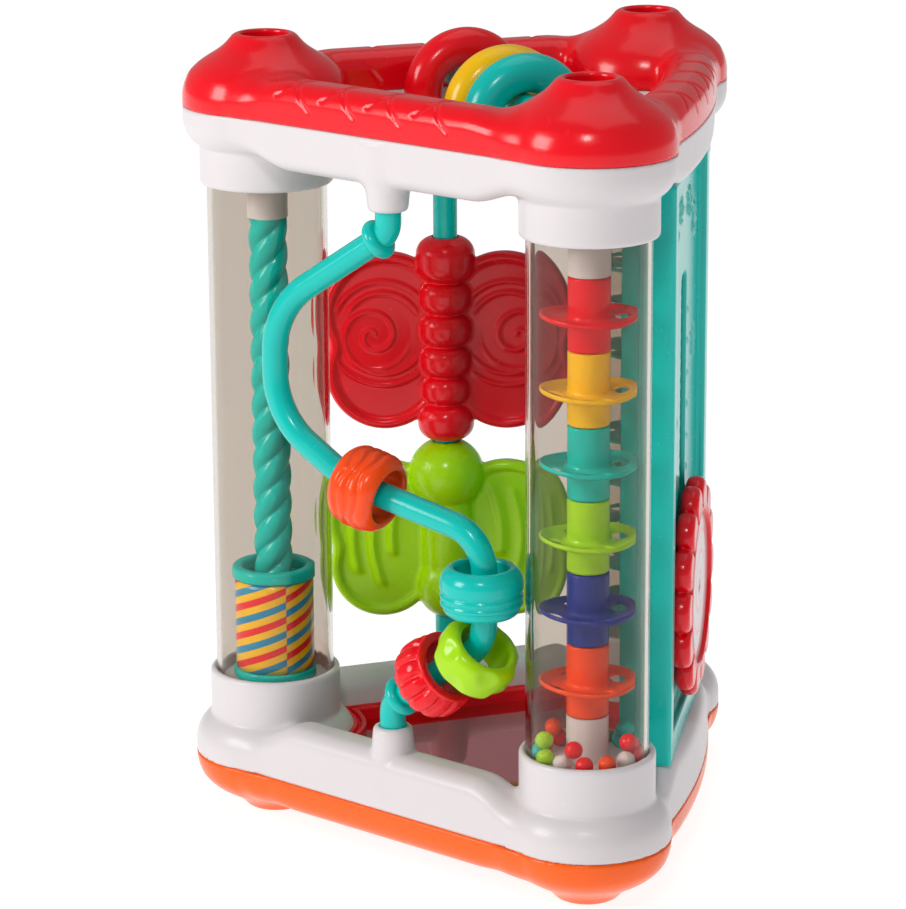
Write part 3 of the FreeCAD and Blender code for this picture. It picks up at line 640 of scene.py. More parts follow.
def frame_corner(neck, rim, seat):
    def corner(radial, rise):
        shoulder = drum(radial, rise, CORNER_RADIUS, -DEEP, neck + 1.4, 13.5)
        collar = drum(radial, rise, COLLAR_RADIUS, -DEEP, rim, 1.6)
        bore = drum(radial, rise, SEAT_RADIUS, seat, rim + DEEP, 0.3)
        plug = drum(radial, rise, PLUG_RADIUS, -DEEP, seat + 2.3, 0.8)
        return np.minimum(np.maximum(join(shoulder, collar, 0.9), -bore), plug)
    return corner


def bar_engraving(x, y, rise):
    """Depth of the thin leaf lines pressed into the bars of the cover."""
    depth = np.zeros_like(x)
    width = bpy.context.scene.tower_details.line_width / MM
    for side in SIDE_ANGLES:
        across, along = bar_place(side, x, y)
        height = 13.0 * np.arctan2(across, np.maximum(rise, 0.01))
        near = (np.abs(across) < BAR_HALF + 3.0) & (np.abs(along) < 58.0)
        lines = np.zeros_like(x)
        for index in range(4):
            start = -44.0 + 24.0 * index
            lines += stroke(along, height, (start, -4.0), (start + 13.0, 14.0), 2.6, width)
            lines += stroke(along, height, (start + 4.0, -3.0), (start - 7.0, 10.0), -2.2, width)
            lines += stroke(along, height, (start + 3.0, -17.0), (start + 11.0, -9.0), 0.5, width)
        depth = np.maximum(depth, np.where(near, np.minimum(lines, 1.0), 0.0))
    return depth


def make_top_cover():
    depth = COVER_TOP - TOP_PARTING
    corner = cover_corner(depth)

    def field(x, y, z):
        return shell(x, y, z - TOP_PARTING, corner, TOP_COVER_BAR, 8.5, 0.0, 7.0)

    def detail(x, y, z):
        return -bpy.context.scene.tower_details.line_depth / MM * bar_engraving(x, y, z - TOP_PARTING)

    low, high = box_mm("top_cover")
    add_field("top_cover_shell", field, low, high, 0.8, (0, 0, 0), "tower",
              paint("red"), ["top_cover"], detail=detail)


def make_base_cover():
    corner = cover_corner(BASE_PARTING)

    def field(x, y, z):
        return shell(x, y, BASE_PARTING - z, corner, BASE_COVER_BAR, 10.0, 0.0, 7.0)

    low, high = box_mm("base_cover")
    add_field("base_cover_shell", field, low, high, 1.1, (0, 0, 0), "tower",
              paint("orange"), ["base_cover"])


def make_white_frame(name, parting, sense, rim_z, neck, seat_back, bar_height, tip_z, cone_soft):
    rim = abs(rim_z - parting)
    corner = frame_corner(neck, rim, rim - seat_back)
    tip = abs(tip_z - parting)
    feet = (side_point("front", 0.0, BAR_OFFSET, 0.0)[:2], ROD_PLACE)

    def field(x, y, z):
        rise = sense * (z - parting)
        value = shell(x, y, rise, corner, bar_height, 7.0, 0.07, 4.0)
        for foot in feet:
            radial = np.hypot(x - foot[0], y - foot[1])
            slim = radial - np.maximum(tip - rise, 0.0) * CONE_SLOPE
            cone = np.maximum(drum(slim, rise, CONE_TIP, -1.0, tip, 1.8), 4.0 - rise)
            socket = drum(radial, rise, ROD_RADIUS + 0.3, tip - CONE_DEPTH, tip + 20.0, 0.3)
            value = np.maximum(join(value, cone, cone_soft), -socket)
        return np.maximum(value, SEAM - rise)

    low, high = box_mm(name)
    add_field(name + "_shell", field, low, high, 1.1, (0, 0, 0), "tower",
              paint("white"), [name])


# --------------------------------------------------------------- left tube

AUGER_TURN = 36.0
AUGER_CORE = 5.9
AUGER_RIDGE = 2.3
DRUM_RADIUS = 17.8
SLEEVE_SEAT = 16.2
SLEEVE_INSIDE = 16.3
SLEEVE_OUTSIDE = 16.62


def make_auger():
    low = FLOOR_LEVEL
    high = box_mm("auger")[1][2]
    levels = np.linspace(low, high, 260)
    turn = np.linspace(0.0, 2.0 * math.pi, 72, endpoint=False)
    phase = 1.5 * (turn[None, :] - 2.0 * math.pi * (levels[:, None] - low) / AUGER_TURN)
    radius = AUGER_CORE + AUGER_RIDGE * np.abs(np.cos(phase)) ** 0.5
    rows = np.stack([radius * np.cos(turn), radius * np.sin(turn),
                     np.repeat(levels[:, None] - (low + high) / 2.0, len(turn), 1)], -1)
    points, quads = lattice(rows, True, False)
    middle = middle_mm("auger")
    add_piece("auger_screw", points, quads, middle, "tower", paint("teal"), ["auger"])


def make_drum():
    middle = middle_mm("drum_ring")
    ring = rounded_loop([(12.9, -2.5), (DRUM_RADIUS, -2.5), (DRUM_RADIUS, 2.5), (12.9, 2.5)],
                        [0.4, 0.8, 2.0, 2.0])
    points, quads = turned(ring, 96)
    body = "drum_spin"
    add_piece("drum_mouth_ring", points, quads, middle, body, paint("teal"), ["drum_ring"])
    label_low = box_mm("drum_label")[0][2]
    label_high = box_mm("drum_label")[1][2]
    spool_low = box_mm("drum_spool")[0][2]
    floor = spool_low + 3.0
    core = rounded_loop([(8.55, spool_low), (DRUM_RADIUS, spool_low), (DRUM_RADIUS, label_low),
                         (SLEEVE_SEAT, label_low), (SLEEVE_SEAT, label_high), (13.4, label_high),
                         (13.4, floor), (8.55, floor)], [0.4, 1.4, 1.2, 0.2, 0.3, 0.3, 0.5, 0.4])
    core[:, 1] -= spool_low
    points, quads = turned(core, 96)
    add_piece("drum_core", points, quads, (middle[0], middle[1], spool_low), body,
              paint("teal"), ["drum_spool"])
    make_label(middle, label_low + 0.15, label_high - 0.1, body)


def lay_print(piece, levels, width):
    """Print coordinates: the share of the way round, and the level of each row, out and back."""
    layer = piece.data.uv_layers.new(name="print")
    corner = np.zeros(len(piece.data.loops), np.int32)
    piece.data.loops.foreach_get("vertex_index", corner)
    row, column = corner // width, corner % width
    up = np.concatenate([levels, levels[::-1]])[row]
    layer.data.foreach_set("uv", np.stack([column / (width - 1), up], 1).astype(np.float32).ravel())


def make_label(middle, low, high, body):
    """Printed sleeve whose two ends overlap in a thin upright seam."""
    turn = np.linspace(0.0, 2.0 * math.pi, 129)
    shares = np.linspace(0.0, 1.0, 14)
    outer = SLEEVE_OUTSIDE + 0.16 * (1.0 - smooth_step(turn, 0.0, 0.5))
    rows = []
    for radius, order in ((outer, shares), (SLEEVE_INSIDE, shares[::-1])):
        for share in order:
            level = np.full_like(turn, (high - low) * share)
            rows.append(np.stack([radius * np.cos(turn), radius * np.sin(turn), level], -1))
    points, quads = lattice(np.array(rows), False, True)
    piece = add_piece("drum_label_sleeve", points, quads, (middle[0], middle[1], low), body,
                      striped_label(), ["drum_label"], turn_about_z(-30.0))
    lay_print(piece, shares, len(turn))


# -------------------------------------------------------------- front tube

SPINNER_HUB = 8.5
SPINNER_EDGE = 19.5
AXLE_BORE = 3.05


def spinner_field(length, disc_z):
    def field(x, y, z):
        radial = np.hypot(x, y)
        turn = np.arctan2(y, x)
        share = np.clip((radial - SPINNER_HUB) / 11.0, 0.0, 1.2)
        wave = 0.9 * np.cos(2.0 * turn) * share ** 2
        level = disc_z - 1.6 + 2.2 * share ** 2 + wave
        half = 0.6 + 0.45 * smooth_step(radial, 17.0, 19.2)
        plate = block([(radial, SPINNER_EDGE), (z - level, half)], 0.6)
        folded = np.arctan2(np.sin(4.0 * turn), np.cos(4.0 * turn)) / 4.0
        hole = block([(radial - 13.6, 2.3), (folded * 13.6, 4.3)], 2.2)
        plate = carve(plate, hole, 0.7)
        hub = drum(radial, z, SPINNER_HUB, -length / 2.0, length / 2.0, 0.5)
        return np.maximum(join(hub, plate, 2.4), AXLE_BORE - radial)
    return field


def make_spinners():
    for index, name in enumerate(("red", "yellow", "teal", "lime", "blue", "orange")):
        low, high = box_mm("spinner_" + name)
        middle = (low + high) / 2.0
        length = high[2] - low[2]
        reach = np.array([20.0, 20.0, length / 2.0])
        shade = "coral" if name == "orange" else name
        add_field("spinner_" + name + "_cup", spinner_field(length, length * -0.05), -reach, reach, 0.75,
                  middle, "spinner_" + name, paint(shade), ["spinner_" + name],
                  turn_about_z(54.0 + 2.0 * index))


# ------------------------------------------------------------------- beads

BEAD_RADIUS = 16.9
BEAD_BORE = 11.0


def bead_hole(value, radial, lip):
    return carve(value, radial - BEAD_BORE, lip)


def orange_bead(x, y, z):
    radial = np.hypot(x, y)
    turn = np.arctan2(y, x)
    value = drum(radial, z, BEAD_RADIUS, -12.0, 12.0, 8.5)
    for level, phase in ((-4.6, 0.0), (0.0, 1.2), (4.6, 2.4)):
        miss = z - level - 0.9 * np.sin(5.0 * turn + phase)
        value = value + 1.0 * np.exp(-((miss / 1.1) ** 2)) * smooth_step(radial, 13.0, 15.0)
    return bead_hole(value, radial, 2.6)


def teal_bead(x, y, z):
    radial = np.hypot(x, y)
    value = drum(radial, z, BEAD_RADIUS, -11.0, 11.0, 7.5)
    for level in (0.2, 3.4, 6.6):
        value = value + 0.8 * np.exp(-(((z - level) / 0.8) ** 2)) * smooth_step(radial, 13.0, 15.0)
    return bead_hole(value, radial, 2.8)


def lime_bead(x, y, z):
    radial = np.hypot(x, y)
    value = drum(radial, z, BEAD_RADIUS, -8.3, 8.3, 4.6)
    for sign in (-1.0, 1.0):
        for index in range(5):
            turn = math.radians(72.0 * index + (36.0 if sign > 0 else 0.0))
            scoop = ball(x - 22.0 * math.cos(turn), y - 22.0 * math.sin(turn), z - sign * 7.0, 7.2)
            value = carve(value, scoop, 1.8)
    return bead_hole(value, radial, 2.0)


def red_bead(x, y, z):
    radial = np.hypot(x, y)
    turn = np.arctan2(y, x)
    value = drum(radial, z, BEAD_RADIUS, -9.4, 10.0, 8.0)
    folded = np.abs(np.arctan2(np.sin(13.0 * turn), np.cos(13.0 * turn))) / 13.0 * radial
    flute = 1.7 * np.exp(-((folded / 1.2) ** 2)) * smooth_step(radial, 11.5, 15.0)
    value = value + flute * smooth_step(z, -7.4, -6.2)
    plate = drum(radial, z, 15.4, -10.0, -8.2, 0.7)
    return bead_hole(join(value, plate, 0.5), radial, 1.8)


def make_beads():
    beads = (
        ("orange", orange_bead, 12.0, "orange_bead_slide", "coral"),
        ("teal", teal_bead, 11.0, "teal_bead_turn", "teal"),
        ("lime", lime_bead, 8.3, "lime_bead_turn", "lime"),
        ("red", red_bead, 10.0, "red_bead_turn", "red"),
    )
    for name, field, half, joint, shade in beads:
        node_name = "bead_" + name
        add_field(node_name + "_ring", field, (-17, -17, -half), (17, 17, half), 0.6, middle_mm(node_name),
                  node_name, paint(shade), [node_name], turn_towards(joint_axis(joint)))


# -------------------------------------------------------------- butterflies

BUTTERFLY_TURN = 40.0
ROD_BORE = 5.6
WING_HALF = 2.0
WING_RIM = 2.4
WING_LIFT = 1.9
LOBE_JOIN = 4.0


def beaded_body(radial, z, parts, soft):
    """Stack of rounded barrels; parts are (low, high, radius)."""
    value = None
    for low, high, radius in parts:
        part = drum(radial, z, radius, low, high, min((high - low) / 2.0 * 0.85, 8.0))
        value = part if value is None else join(value, part, soft)
    return value


def wing_plan(x, z, lobes, soft):
    """Distance from the outline of a pair of wings."""
    value = None
    for across, level, radius in lobes:
        part = np.hypot(np.abs(x) - across, z - level) - radius
        value = part if value is None else join(value, part, soft)
    return value


def wings(x, y, z, lobes):
    """Pair of flat wings with a raised lip inside their outline."""
    plan = wing_plan(x, z, lobes, LOBE_JOIN)
    value = np.maximum(plan, np.abs(y) - WING_HALF)
    rounded = np.hypot(np.maximum(plan + 1.6, 0.0), np.maximum(np.abs(y) - WING_HALF + 1.2, 0.0)) - 1.4
    value = np.where(plan > -2.4, np.maximum(rounded, plan), value)
    lip = np.hypot(plan + WING_RIM, np.maximum(np.abs(y) - WING_HALF + 0.4, 0.0)) - WING_LIFT
    return join(value, lip, 1.6)


def spiral_ridge(x, z, centre, pitch, turns):
    """Strength of a raised spiral line on each wing, mirrored about the body."""
    across = np.abs(x) - centre[0]
    up = z - centre[1]
    radial = np.hypot(across, up)
    share = radial / pitch - np.arctan2(up, -across) / (2.0 * math.pi)
    miss = (np.abs(share - np.round(share))) * pitch
    fade = 1.0 - smooth_step(radial, pitch * turns - 1.0, pitch * turns + 1.0)
    return np.exp(-((miss / 0.75) ** 2)) * fade


def make_red_butterfly():
    parts = ((150.0, 166.0, 12.2), (165.6, 178.4, 10.4), (178.0, 192.0, 11.0), (191.6, 206.0, 11.2),
             (205.6, 220.4, 11.2), (219.6, 239.4, 12.8))
    lobes = ((25.4, 205.4, 27.4), (26.4, 180.0, 25.4))

    def field(x, y, z):
        radial = np.hypot(x, y)
        value = join(wings(x, y, z, lobes), beaded_body(radial, z, parts, 0.8), 1.2)
        return np.maximum(value, ROD_BORE - radial)

    def detail(x, y, z):
        plan = wing_plan(x, z, lobes, 6.0)
        inner = smooth_step(-plan, 3.6, 5.0) * smooth_step(np.abs(x), 11.0, 12.5) * (np.abs(y) > 1.0)
        lines = spiral_ridge(x, z, (31.0, 196.0), 8.4, 1.9)
        for gap in (17.0, 22.0):
            reach = np.hypot(np.abs(x) - 27.0, z - 198.0)
            lines = lines + np.exp(-(((reach - gap) / 0.7) ** 2)) * smooth_step(z - 198.0, 6.0, 11.0)
            lines = lines + np.exp(-(((reach - gap - 2.0) / 0.7) ** 2)) * smooth_step(198.0 - z, 8.0, 14.0)
        return 0.9 * inner * np.minimum(lines, 1.0)

    add_field("red_butterfly_body", field, (-53.4, -13, 150.0), (53.4, 13, 239.4), 0.8,
              (ROD_PLACE[0], ROD_PLACE[1], 0.0), "red_butterfly", paint("red"),
              ["red_butterfly"], turn_about_z(BUTTERFLY_TURN), detail)


def make_green_butterfly():
    lobes = ((26.0, 114.0, 26.2), (28.0, 92.4, 22.6))

    def field(x, y, z):
        radial = np.hypot(x, y)
        head = np.sqrt(radial ** 2 + ((z - 134.4) * 1.04) ** 2) - 16.4
        neck = np.hypot(radial, (z - 108.0) * 0.28) - 11.4
        tail = np.sqrt(radial ** 2 + ((z - 83.4) * 0.92) ** 2) - 13.2
        body = join(join(neck, head, 1.0), tail, 1.4)
        value = join(wings(x, y, z, lobes), body, 1.6)
        value = np.maximum(value, np.maximum(z - 149.6, 68.95 - z))
        return np.maximum(value, ROD_BORE - radial)

    def detail(x, y, z):
        plan = wing_plan(x, z, lobes, 6.0)
        inner = smooth_step(-plan, 4.2, 6.0) * (np.abs(y) > 1.0) * smooth_step(np.abs(x), 12.0, 14.0)
        lines = np.zeros_like(x)
        for offset, low, high in ((41.0, 90.0, 124.0), (32.5, 84.0, 128.0), (24.0, 98.0, 130.0)):
            bowed = np.abs(x) - offset + 0.009 * (z - 106.0) ** 2
            fade = smooth_step(z, low - 2.0, low + 2.0) * (1.0 - smooth_step(z, high - 2.0, high + 2.0))
            lines = lines + np.exp(-((bowed / 1.9) ** 2)) * fade
        return 1.3 * inner * np.minimum(lines, 1.0)

    add_field("green_butterfly_body", field, (-52.6, -17, 68.9), (52.6, 17, 149.7), 0.8,
              (ROD_PLACE[0], ROD_PLACE[1], 0.0), "green_butterfly", paint("lime"),
              ["green_butterfly"], turn_about_z(BUTTERFLY_TURN), detail)


# --------------------------------------------------------- panel and wheel

PANEL_HALF = 58.0
PANEL_OUT = 30.5
FIELD_OUT = 27.0
SPLIT_OUT = 20.0
WHEEL_Z = float(middle_mm("flower_wheel")[2])
WHEEL_TRAVEL = 124.0
WHEEL_RADIUS = 46.0
SLOT_HALF = 8.65
TOOTH_PITCH = 5.3
PETALS = 14
PETAL_RADIUS = 9.3
WHEEL_HALF = 4.0
DISH_RADIUS = 32.3
STICKER_RADIUS = 31.6
SPIRAL_PITCH = 9.0
RIGHT_TURN = turn_about_z(SIDE_ANGLES["right"])


def make_panel():
    low, high = box_mm("panel_front")
    field_low = WHEEL_Z - WHEEL_RADIUS - 2.0
    field_high = TOP_PARTING - TOP_FRAME_BAR - 2.0
    slot_low = WHEEL_Z - SLOT_HALF - 0.6
    slot_high = WHEEL_Z + WHEEL_TRAVEL + SLOT_HALF + 0.6

    def field(x, y, z):
        middle_z = (low[2] + high[2]) / 2.0
        half_z = (high[2] - low[2]) / 2.0
        thick = (PANEL_OUT - SPLIT_OUT) / 2.0
        body = block([(x - SPLIT_OUT - thick, thick), (y, PANEL_HALF), (z - middle_z, half_z)], 1.2)
        tray = block([(x - FIELD_OUT - 20.0, 20.0), (y, WHEEL_RADIUS + 2.5),
                      (z - (field_low + field_high) / 2.0, (field_high - field_low) / 2.0)], 1.6)
        value = carve(body, tray, 1.0)
        slot = block([(y, SLOT_HALF), (z - (slot_low + slot_high) / 2.0, (slot_high - slot_low) / 2.0)], 4.0)
        value = carve(value, slot, 0.8)
        phase = (z - WHEEL_Z) / TOOTH_PITCH
        tooth = np.abs(phase - np.floor(phase) - 0.5) * TOOTH_PITCH
        rack = block([(y + SLOT_HALF + 0.4, 2.9), (tooth, 1.35), (x - FIELD_OUT + 1.6, 1.4)], 0.4)
        rack = np.maximum(rack, np.maximum(slot_low + 2.0 - z, z - slot_high + 2.0))
        return join(value, rack, 0.4)

    def detail(x, y, z):
        face = x > FIELD_OUT - 0.6
        lines = np.zeros_like(x)
        for place in panel_flowers():
            lines = np.maximum(lines, flower_relief(y, z, *place))
        for index in range(9):
            level = WHEEL_Z + 8.0 + 13.5 * index
            mark = block([(y - 14.5, 3.2), (z - level, 0.7)], 0.3)
            lines = np.maximum(lines, 1.0 - smooth_step(mark, -0.2, 0.6))
        return 0.7 * lines * face

    add_field("panel_face", field, (SPLIT_OUT, -PANEL_HALF, low[2]), (PANEL_OUT, PANEL_HALF, high[2]), 1.0,
              side_point("right", 0.0, 0.0, 0.0), "tower", paint("teal"), ["panel_front"],
              RIGHT_TURN, detail)


def panel_flowers():
    """Raised flowers on the panel's field: along, height, size."""
    top = WHEEL_Z + WHEEL_TRAVEL + 22.0
    return ((-30.0, top + 8.0, 8.0), (-12.0, top + 16.0, 5.5), (14.0, top + 15.0, 6.0),
            (32.0, top + 5.0, 8.0), (-33.0, top - 26.0, 6.5), (-30.0, top - 70.0, 7.5),
            (31.0, top - 48.0, 7.0), (-31.0, top - 112.0, 6.0))


def flower_relief(y, z, along, level, size):
    """Strength of a raised five-petal outline with a dot in the middle."""
    across = y - along
    up = z - level
    radial = np.hypot(across, up)
    turn = np.arctan2(up, across)
    edge = size * (0.78 + 0.22 * np.cos(5.0 * turn))
    outline = 1.0 - smooth_step(np.abs(radial - edge), 0.4, 1.1)
    return np.maximum(outline, 1.0 - smooth_step(radial, size * 0.22, size * 0.22 + 0.8))


def make_wheel():
    middle = middle_mm("flower_wheel")
    ring = WHEEL_RADIUS - 9.4

    def field(x, y, z):
        radial = np.hypot(y, z)
        turn = np.arctan2(z, y)
        step = 2.0 * math.pi / PETALS
        folded = (turn / step - np.round(turn / step)) * step
        petal = np.hypot(radial * np.cos(folded) - ring, radial * np.sin(folded)) - PETAL_RADIUS
        plan = np.minimum(petal, radial - (ring + 1.0))
        soft = 3.2
        thick = np.abs(x) - WHEEL_HALF + soft
        outside = np.hypot(np.maximum(plan + soft, 0.0), np.maximum(thick, 0.0))
        inside = np.minimum(np.maximum(plan + soft, thick), 0.0)
        value = outside + inside - soft
        valley = radial * np.abs(np.sin(np.abs(folded) - step / 2.0))
        groove = np.hypot(valley, np.maximum(33.5 - radial, 0.0))
        value = value + 0.9 * np.exp(-((groove / 0.8) ** 2)) * (x > 0)
        dish = drum(radial, x, DISH_RADIUS, 2.4, 30.0, 0.6)
        value = carve(value, dish, 1.2)
        bead = np.hypot(radial - 33.6, x - 3.1) - 1.15
        return join(value, bead, 0.8)

    reach = WHEEL_RADIUS
    add_field("flower_wheel_petals", field, (-4, -reach, -reach), (4.3, reach, reach), 0.8, middle,
              "wheel_spin", paint("red"), ["flower_wheel"], RIGHT_TURN)
    make_sticker(middle)


def make_sticker(middle):
    """Thin printed disc, slightly domed, in the dish of the wheel."""
    radii = np.concatenate([[0.4], np.linspace(4.0, STICKER_RADIUS, 13)])
    turn = np.linspace(0.0, 2.0 * math.pi, 97)
    face = [(radius, 2.95 - 0.35 * (radius / STICKER_RADIUS) ** 4) for radius in radii]
    back = [(radius, 2.3) for radius in radii[::-1]]
    rows = []
    for radius, level in face + back:
        rows.append(np.stack([np.full_like(turn, level), radius * np.cos(turn), radius * np.sin(turn)], -1))
    points, quads = lattice(np.array(rows), False, True)
    piece = add_piece("wheel_sticker_disc", points, quads, middle, "wheel_spin",
                      spiral_sticker(), ["wheel_sticker"], RIGHT_TURN)
    lay_print(piece, radii / SPIRAL_PITCH, len(turn))


# -------------------------------------------------------------------- tray

def make_tray():
    low, high = box_mm("tray")
    floor_top = low[2] + 3.4
    edge_out = BAR_OFFSET - BAR_HALF + 0.6

    def plan(x, y):
        value = None
        for side in SIDE_ANGLES:
            part = side_coordinates(side, x, y)[0] - edge_out
            value = part if value is None else np.maximum(value, part)
        for tube in TUBES.values():
            value = np.maximum(value, CORNER_RADIUS - 1.4 - np.hypot(x - tube[0], y - tube[1]))
        return value

    def field(x, y, z):
        edge = plan(x, y)
        height = (high[2] - low[2]) / 2.0
        value = block([(np.maximum(edge + 6.0, 0.0), 6.0), (z - low[2] - height, height)], 0.8)
        value = np.maximum(value, edge)
        pit = np.maximum(edge + 6.0, floor_top - z)
        value = carve(value, pit, 0.8)
        groove = np.hypot(edge + 3.0, np.maximum(high[2] - 1.6 - z, 0.0)) - 0.8
        return carve(value, groove, 0.8)

    add_field("mirror_tray", field, low, high, 0.9, (0, 0, 0), "tower",
              paint("red"), ["tray"])
    dress("mirror", metal("mirror_finish", tuple(colours().mirror), 0.06, 0.02))


# -------------------------------------------------------------------- stage

def area_light(name, place, aim, size, power, tint):
    data = bpy.data.lights.new(name, "AREA")
    data.shape = "RECTANGLE"
    data.size = size[0]
    data.size_y = size[1]
    data.energy = power
    data.color = tint
    lamp = bpy.data.objects.new(name, data)
    bpy.context.scene.collection.objects.link(lamp)
    lamp.location = place
    lamp.rotation_euler = (Vector(aim) - Vector(place)).to_track_quat("-Z", "Y").to_euler()
    return lamp


def make_floor():
    points = np.array([[[-8000.0, -8000.0, 0.0], [8000.0, -8000.0, 0.0]],
                       [[-8000.0, 8000.0, 0.0], [8000.0, 8000.0, 0.0]]])
    rows, quads = lattice(points, False, False)
    mesh = bpy.data.meshes.new("studio_floor")
    mesh.from_pydata((rows * MM - np.array([0, 0, 0.0004])).tolist(), [], quads.tolist())
    material, tree, shader = start_material("studio_floor")
    finish_shader(tree, shader, linear(150, 150, 150), 0.8, 0.01, 0.0)
    shader.inputs["Emission Color"].default_value = (1.0, 1.0, 1.0, 1.0)
    shader.inputs["Emission Strength"].default_value = bpy.context.scene.tower_stage.floor_glow
    mesh.materials.append(material)
    floor = bpy.data.objects.new("studio_floor", mesh)
    bpy.context.scene.collection.objects.link(floor)


def make_camera():
    settings = bpy.context.scene.tower_stage
    yaw = settings.camera_yaw
    pitch = settings.camera_pitch
    ahead = Vector((math.cos(pitch) * math.sin(yaw), math.cos(pitch) * math.cos(yaw), math.sin(pitch)))
    right = ahead.cross(Vector((0, 0, 1))).normalized()
    up = right.cross(ahead)
    roll = settings.camera_roll
    across = right * math.cos(roll) + up * math.sin(roll)
    upright = up * math.cos(roll) - right * math.sin(roll)
    data = bpy.data.cameras.new("studio_camera")
    data.sensor_width = 36.0
    data.lens = settings.camera_lens
    camera = bpy.data.objects.new("studio_camera", data)
    bpy.context.scene.collection.objects.link(camera)
    turn = Matrix((across, upright, -ahead)).transposed()
    camera.matrix_world = Matrix.Translation(Vector(settings.camera_place)) @ turn.to_4x4()
    bpy.context.scene.camera = camera


def make_world():
    world = bpy.data.worlds.new("studio")
    world.use_nodes = True
    back = world.node_tree.nodes["Background"]
    back.inputs["Color"].default_value = (1.0, 1.0, 1.0, 1.0)
    back.inputs["Strength"].default_value = bpy.context.scene.tower_stage.ambient
    bpy.context.scene.world = world


# ---------------------------------------------------------------- settings

def colour_property(key, text):
    return bpy.props.FloatVectorProperty(name=text, description=text + " colour", subtype="COLOR",
                                         size=3, min=0.0, max=1.0, default=COLOURS[key])


def number_property(text, hint, value, **more):
    return bpy.props.FloatProperty(name=text, description=hint, default=value, **more)


def angle_property(text, hint, degrees):
    return number_property(text, hint, math.radians(degrees), subtype="ANGLE")


class TowerColours(bpy.types.PropertyGroup):
    red: colour_property("red", "Red")
    white: colour_property("white", "White")
    orange: colour_property("orange", "Base orange")
    coral: colour_property("coral", "Bead orange")
    teal: colour_property("teal", "Teal")
    lime: colour_property("lime", "Lime")
    yellow: colour_property("yellow", "Yellow")
    blue: colour_property("blue", "Blue")
    teal_print: bpy.props.FloatVectorProperty(name="Label blue", description="Blue of the printed stripes",
                                              subtype="COLOR", size=3, default=linear(20, 140, 186))
    clear: colour_property("clear", "Clear tube")
    mirror: colour_property("mirror", "Mirror")
    steel: colour_property("steel", "Screw")


class TowerDetails(bpy.types.PropertyGroup):
    line_depth: number_property("Line depth", "Depth of the leaf lines on the cover", 0.0006, unit="LENGTH")
    line_width: number_property("Line width", "Half width of the leaf lines", 0.0007, unit="LENGTH")
    stripe_turns: number_property("Stripes around", "Stripe sets around the drum", 3.3)
    stripe_rows: number_property("Stripes up", "Stripe sets up the drum", 3.1)


class TowerStage(bpy.types.PropertyGroup):
    camera_place: bpy.props.FloatVectorProperty(name="Camera place", description="Where the camera stands",
                                                subtype="TRANSLATION", unit="LENGTH",
                                                default=(0.99620, -1.22917, 0.59019))
    camera_yaw: angle_property("Camera yaw", "Heading, clockwise from +Y", -40.1838)
    camera_pitch: angle_property("Camera pitch", "Tilt above the horizon", -15.3514)
    camera_roll: angle_property("Camera roll", "Turn about the line of sight", -0.2916)
    camera_lens: number_property("Lens", "Focal length", 154.11, unit="CAMERA")
    ambient: number_property("Ambient", "Strength of the even light", 0.3)
    floor_glow: number_property("Floor glow", "Own light of the pale floor", 0.88)


# --------------------------------------------------------------- operators

class TOWER_OT_top_cover(bpy.types.Operator):
    """Red upper shell with its noses, screw wells and leaf lines"""
    bl_idname = "tower.top_cover"
    bl_label = "Top Cover"

    def execute(self, context):
        make_top_cover()
        return {"FINISHED"}


class TOWER_OT_white_frames(bpy.types.Operator):
    """White frames of the top and the base with their collars and cones"""
    bl_idname = "tower.white_frames"
    bl_label = "White Frames"

    def execute(self, context):
        top_tip = TOP_PARTING - TOP_FRAME_BAR - CONE_REACH
        base_tip = BASE_PARTING + BASE_FRAME_BAR + CONE_REACH
        make_white_frame("top_frame", TOP_PARTING, -1.0, TOP_RIM, 17.0, 7.0, TOP_FRAME_BAR, top_tip, 4.0)
        make_white_frame("base_frame", BASE_PARTING, 1.0, BASE_RIM, 17.2, 6.6, BASE_FRAME_BAR, base_tip, 1.2)
        return {"FINISHED"}


class TOWER_OT_base_cover(bpy.types.Operator):
    """Orange lower shell with its three feet"""
    bl_idname = "tower.base_cover"
    bl_label = "Base Cover"

    def execute(self, context):
        make_base_cover()
        return {"FINISHED"}


class TOWER_OT_tubes(bpy.types.Operator):
    """Clear tubes"""
    bl_idname = "tower.tubes"
    bl_label = "Clear Tubes"

    def execute(self, context):
        for name in TUBES:
            dress(name + "_tube", clear_plastic())
        return {"FINISHED"}


class TOWER_OT_auger_and_drum(bpy.types.Operator):
    """Twisted bar of the left tube and the drum that climbs it"""
    bl_idname = "tower.auger_and_drum"
    bl_label = "Auger and Drum"

    def execute(self, context):
        make_auger()
        make_drum()
        dress("auger_post", paint("white"))
        return {"FINISHED"}


class TOWER_OT_spinners_and_balls(bpy.types.Operator):
    """Six spinners of the front tube and the loose balls under them"""
    bl_idname = "tower.spinners_and_balls"
    bl_label = "Spinners and Balls"

    def execute(self, context):
        make_spinners()
        dress("spinner_posts", paint("white"))
        dress("spinner_axle", metal("steel_finish", tuple(colours().steel), 0.3))
        for name in ("white", "red", "orange", "teal", "lime"):
            dress("balls_" + name, paint("coral" if name == "orange" else name))
        return {"FINISHED"}


class TOWER_OT_rain_shelves(bpy.types.Operator):
    """Pierced shelves of the back tube"""
    bl_idname = "tower.rain_shelves"
    bl_label = "Rain Shelves"

    def execute(self, context):
        dress("rain_shelves", paint("teal"))
        return {"FINISHED"}


class TOWER_OT_wire_and_beads(bpy.types.Operator):
    """Bent wire with its stop rings, and its four beads"""
    bl_idname = "tower.wire_and_beads"
    bl_label = "Wire and Beads"

    def execute(self, context):
        dress("bead_wire", paint("teal"))
        make_beads()
        return {"FINISHED"}


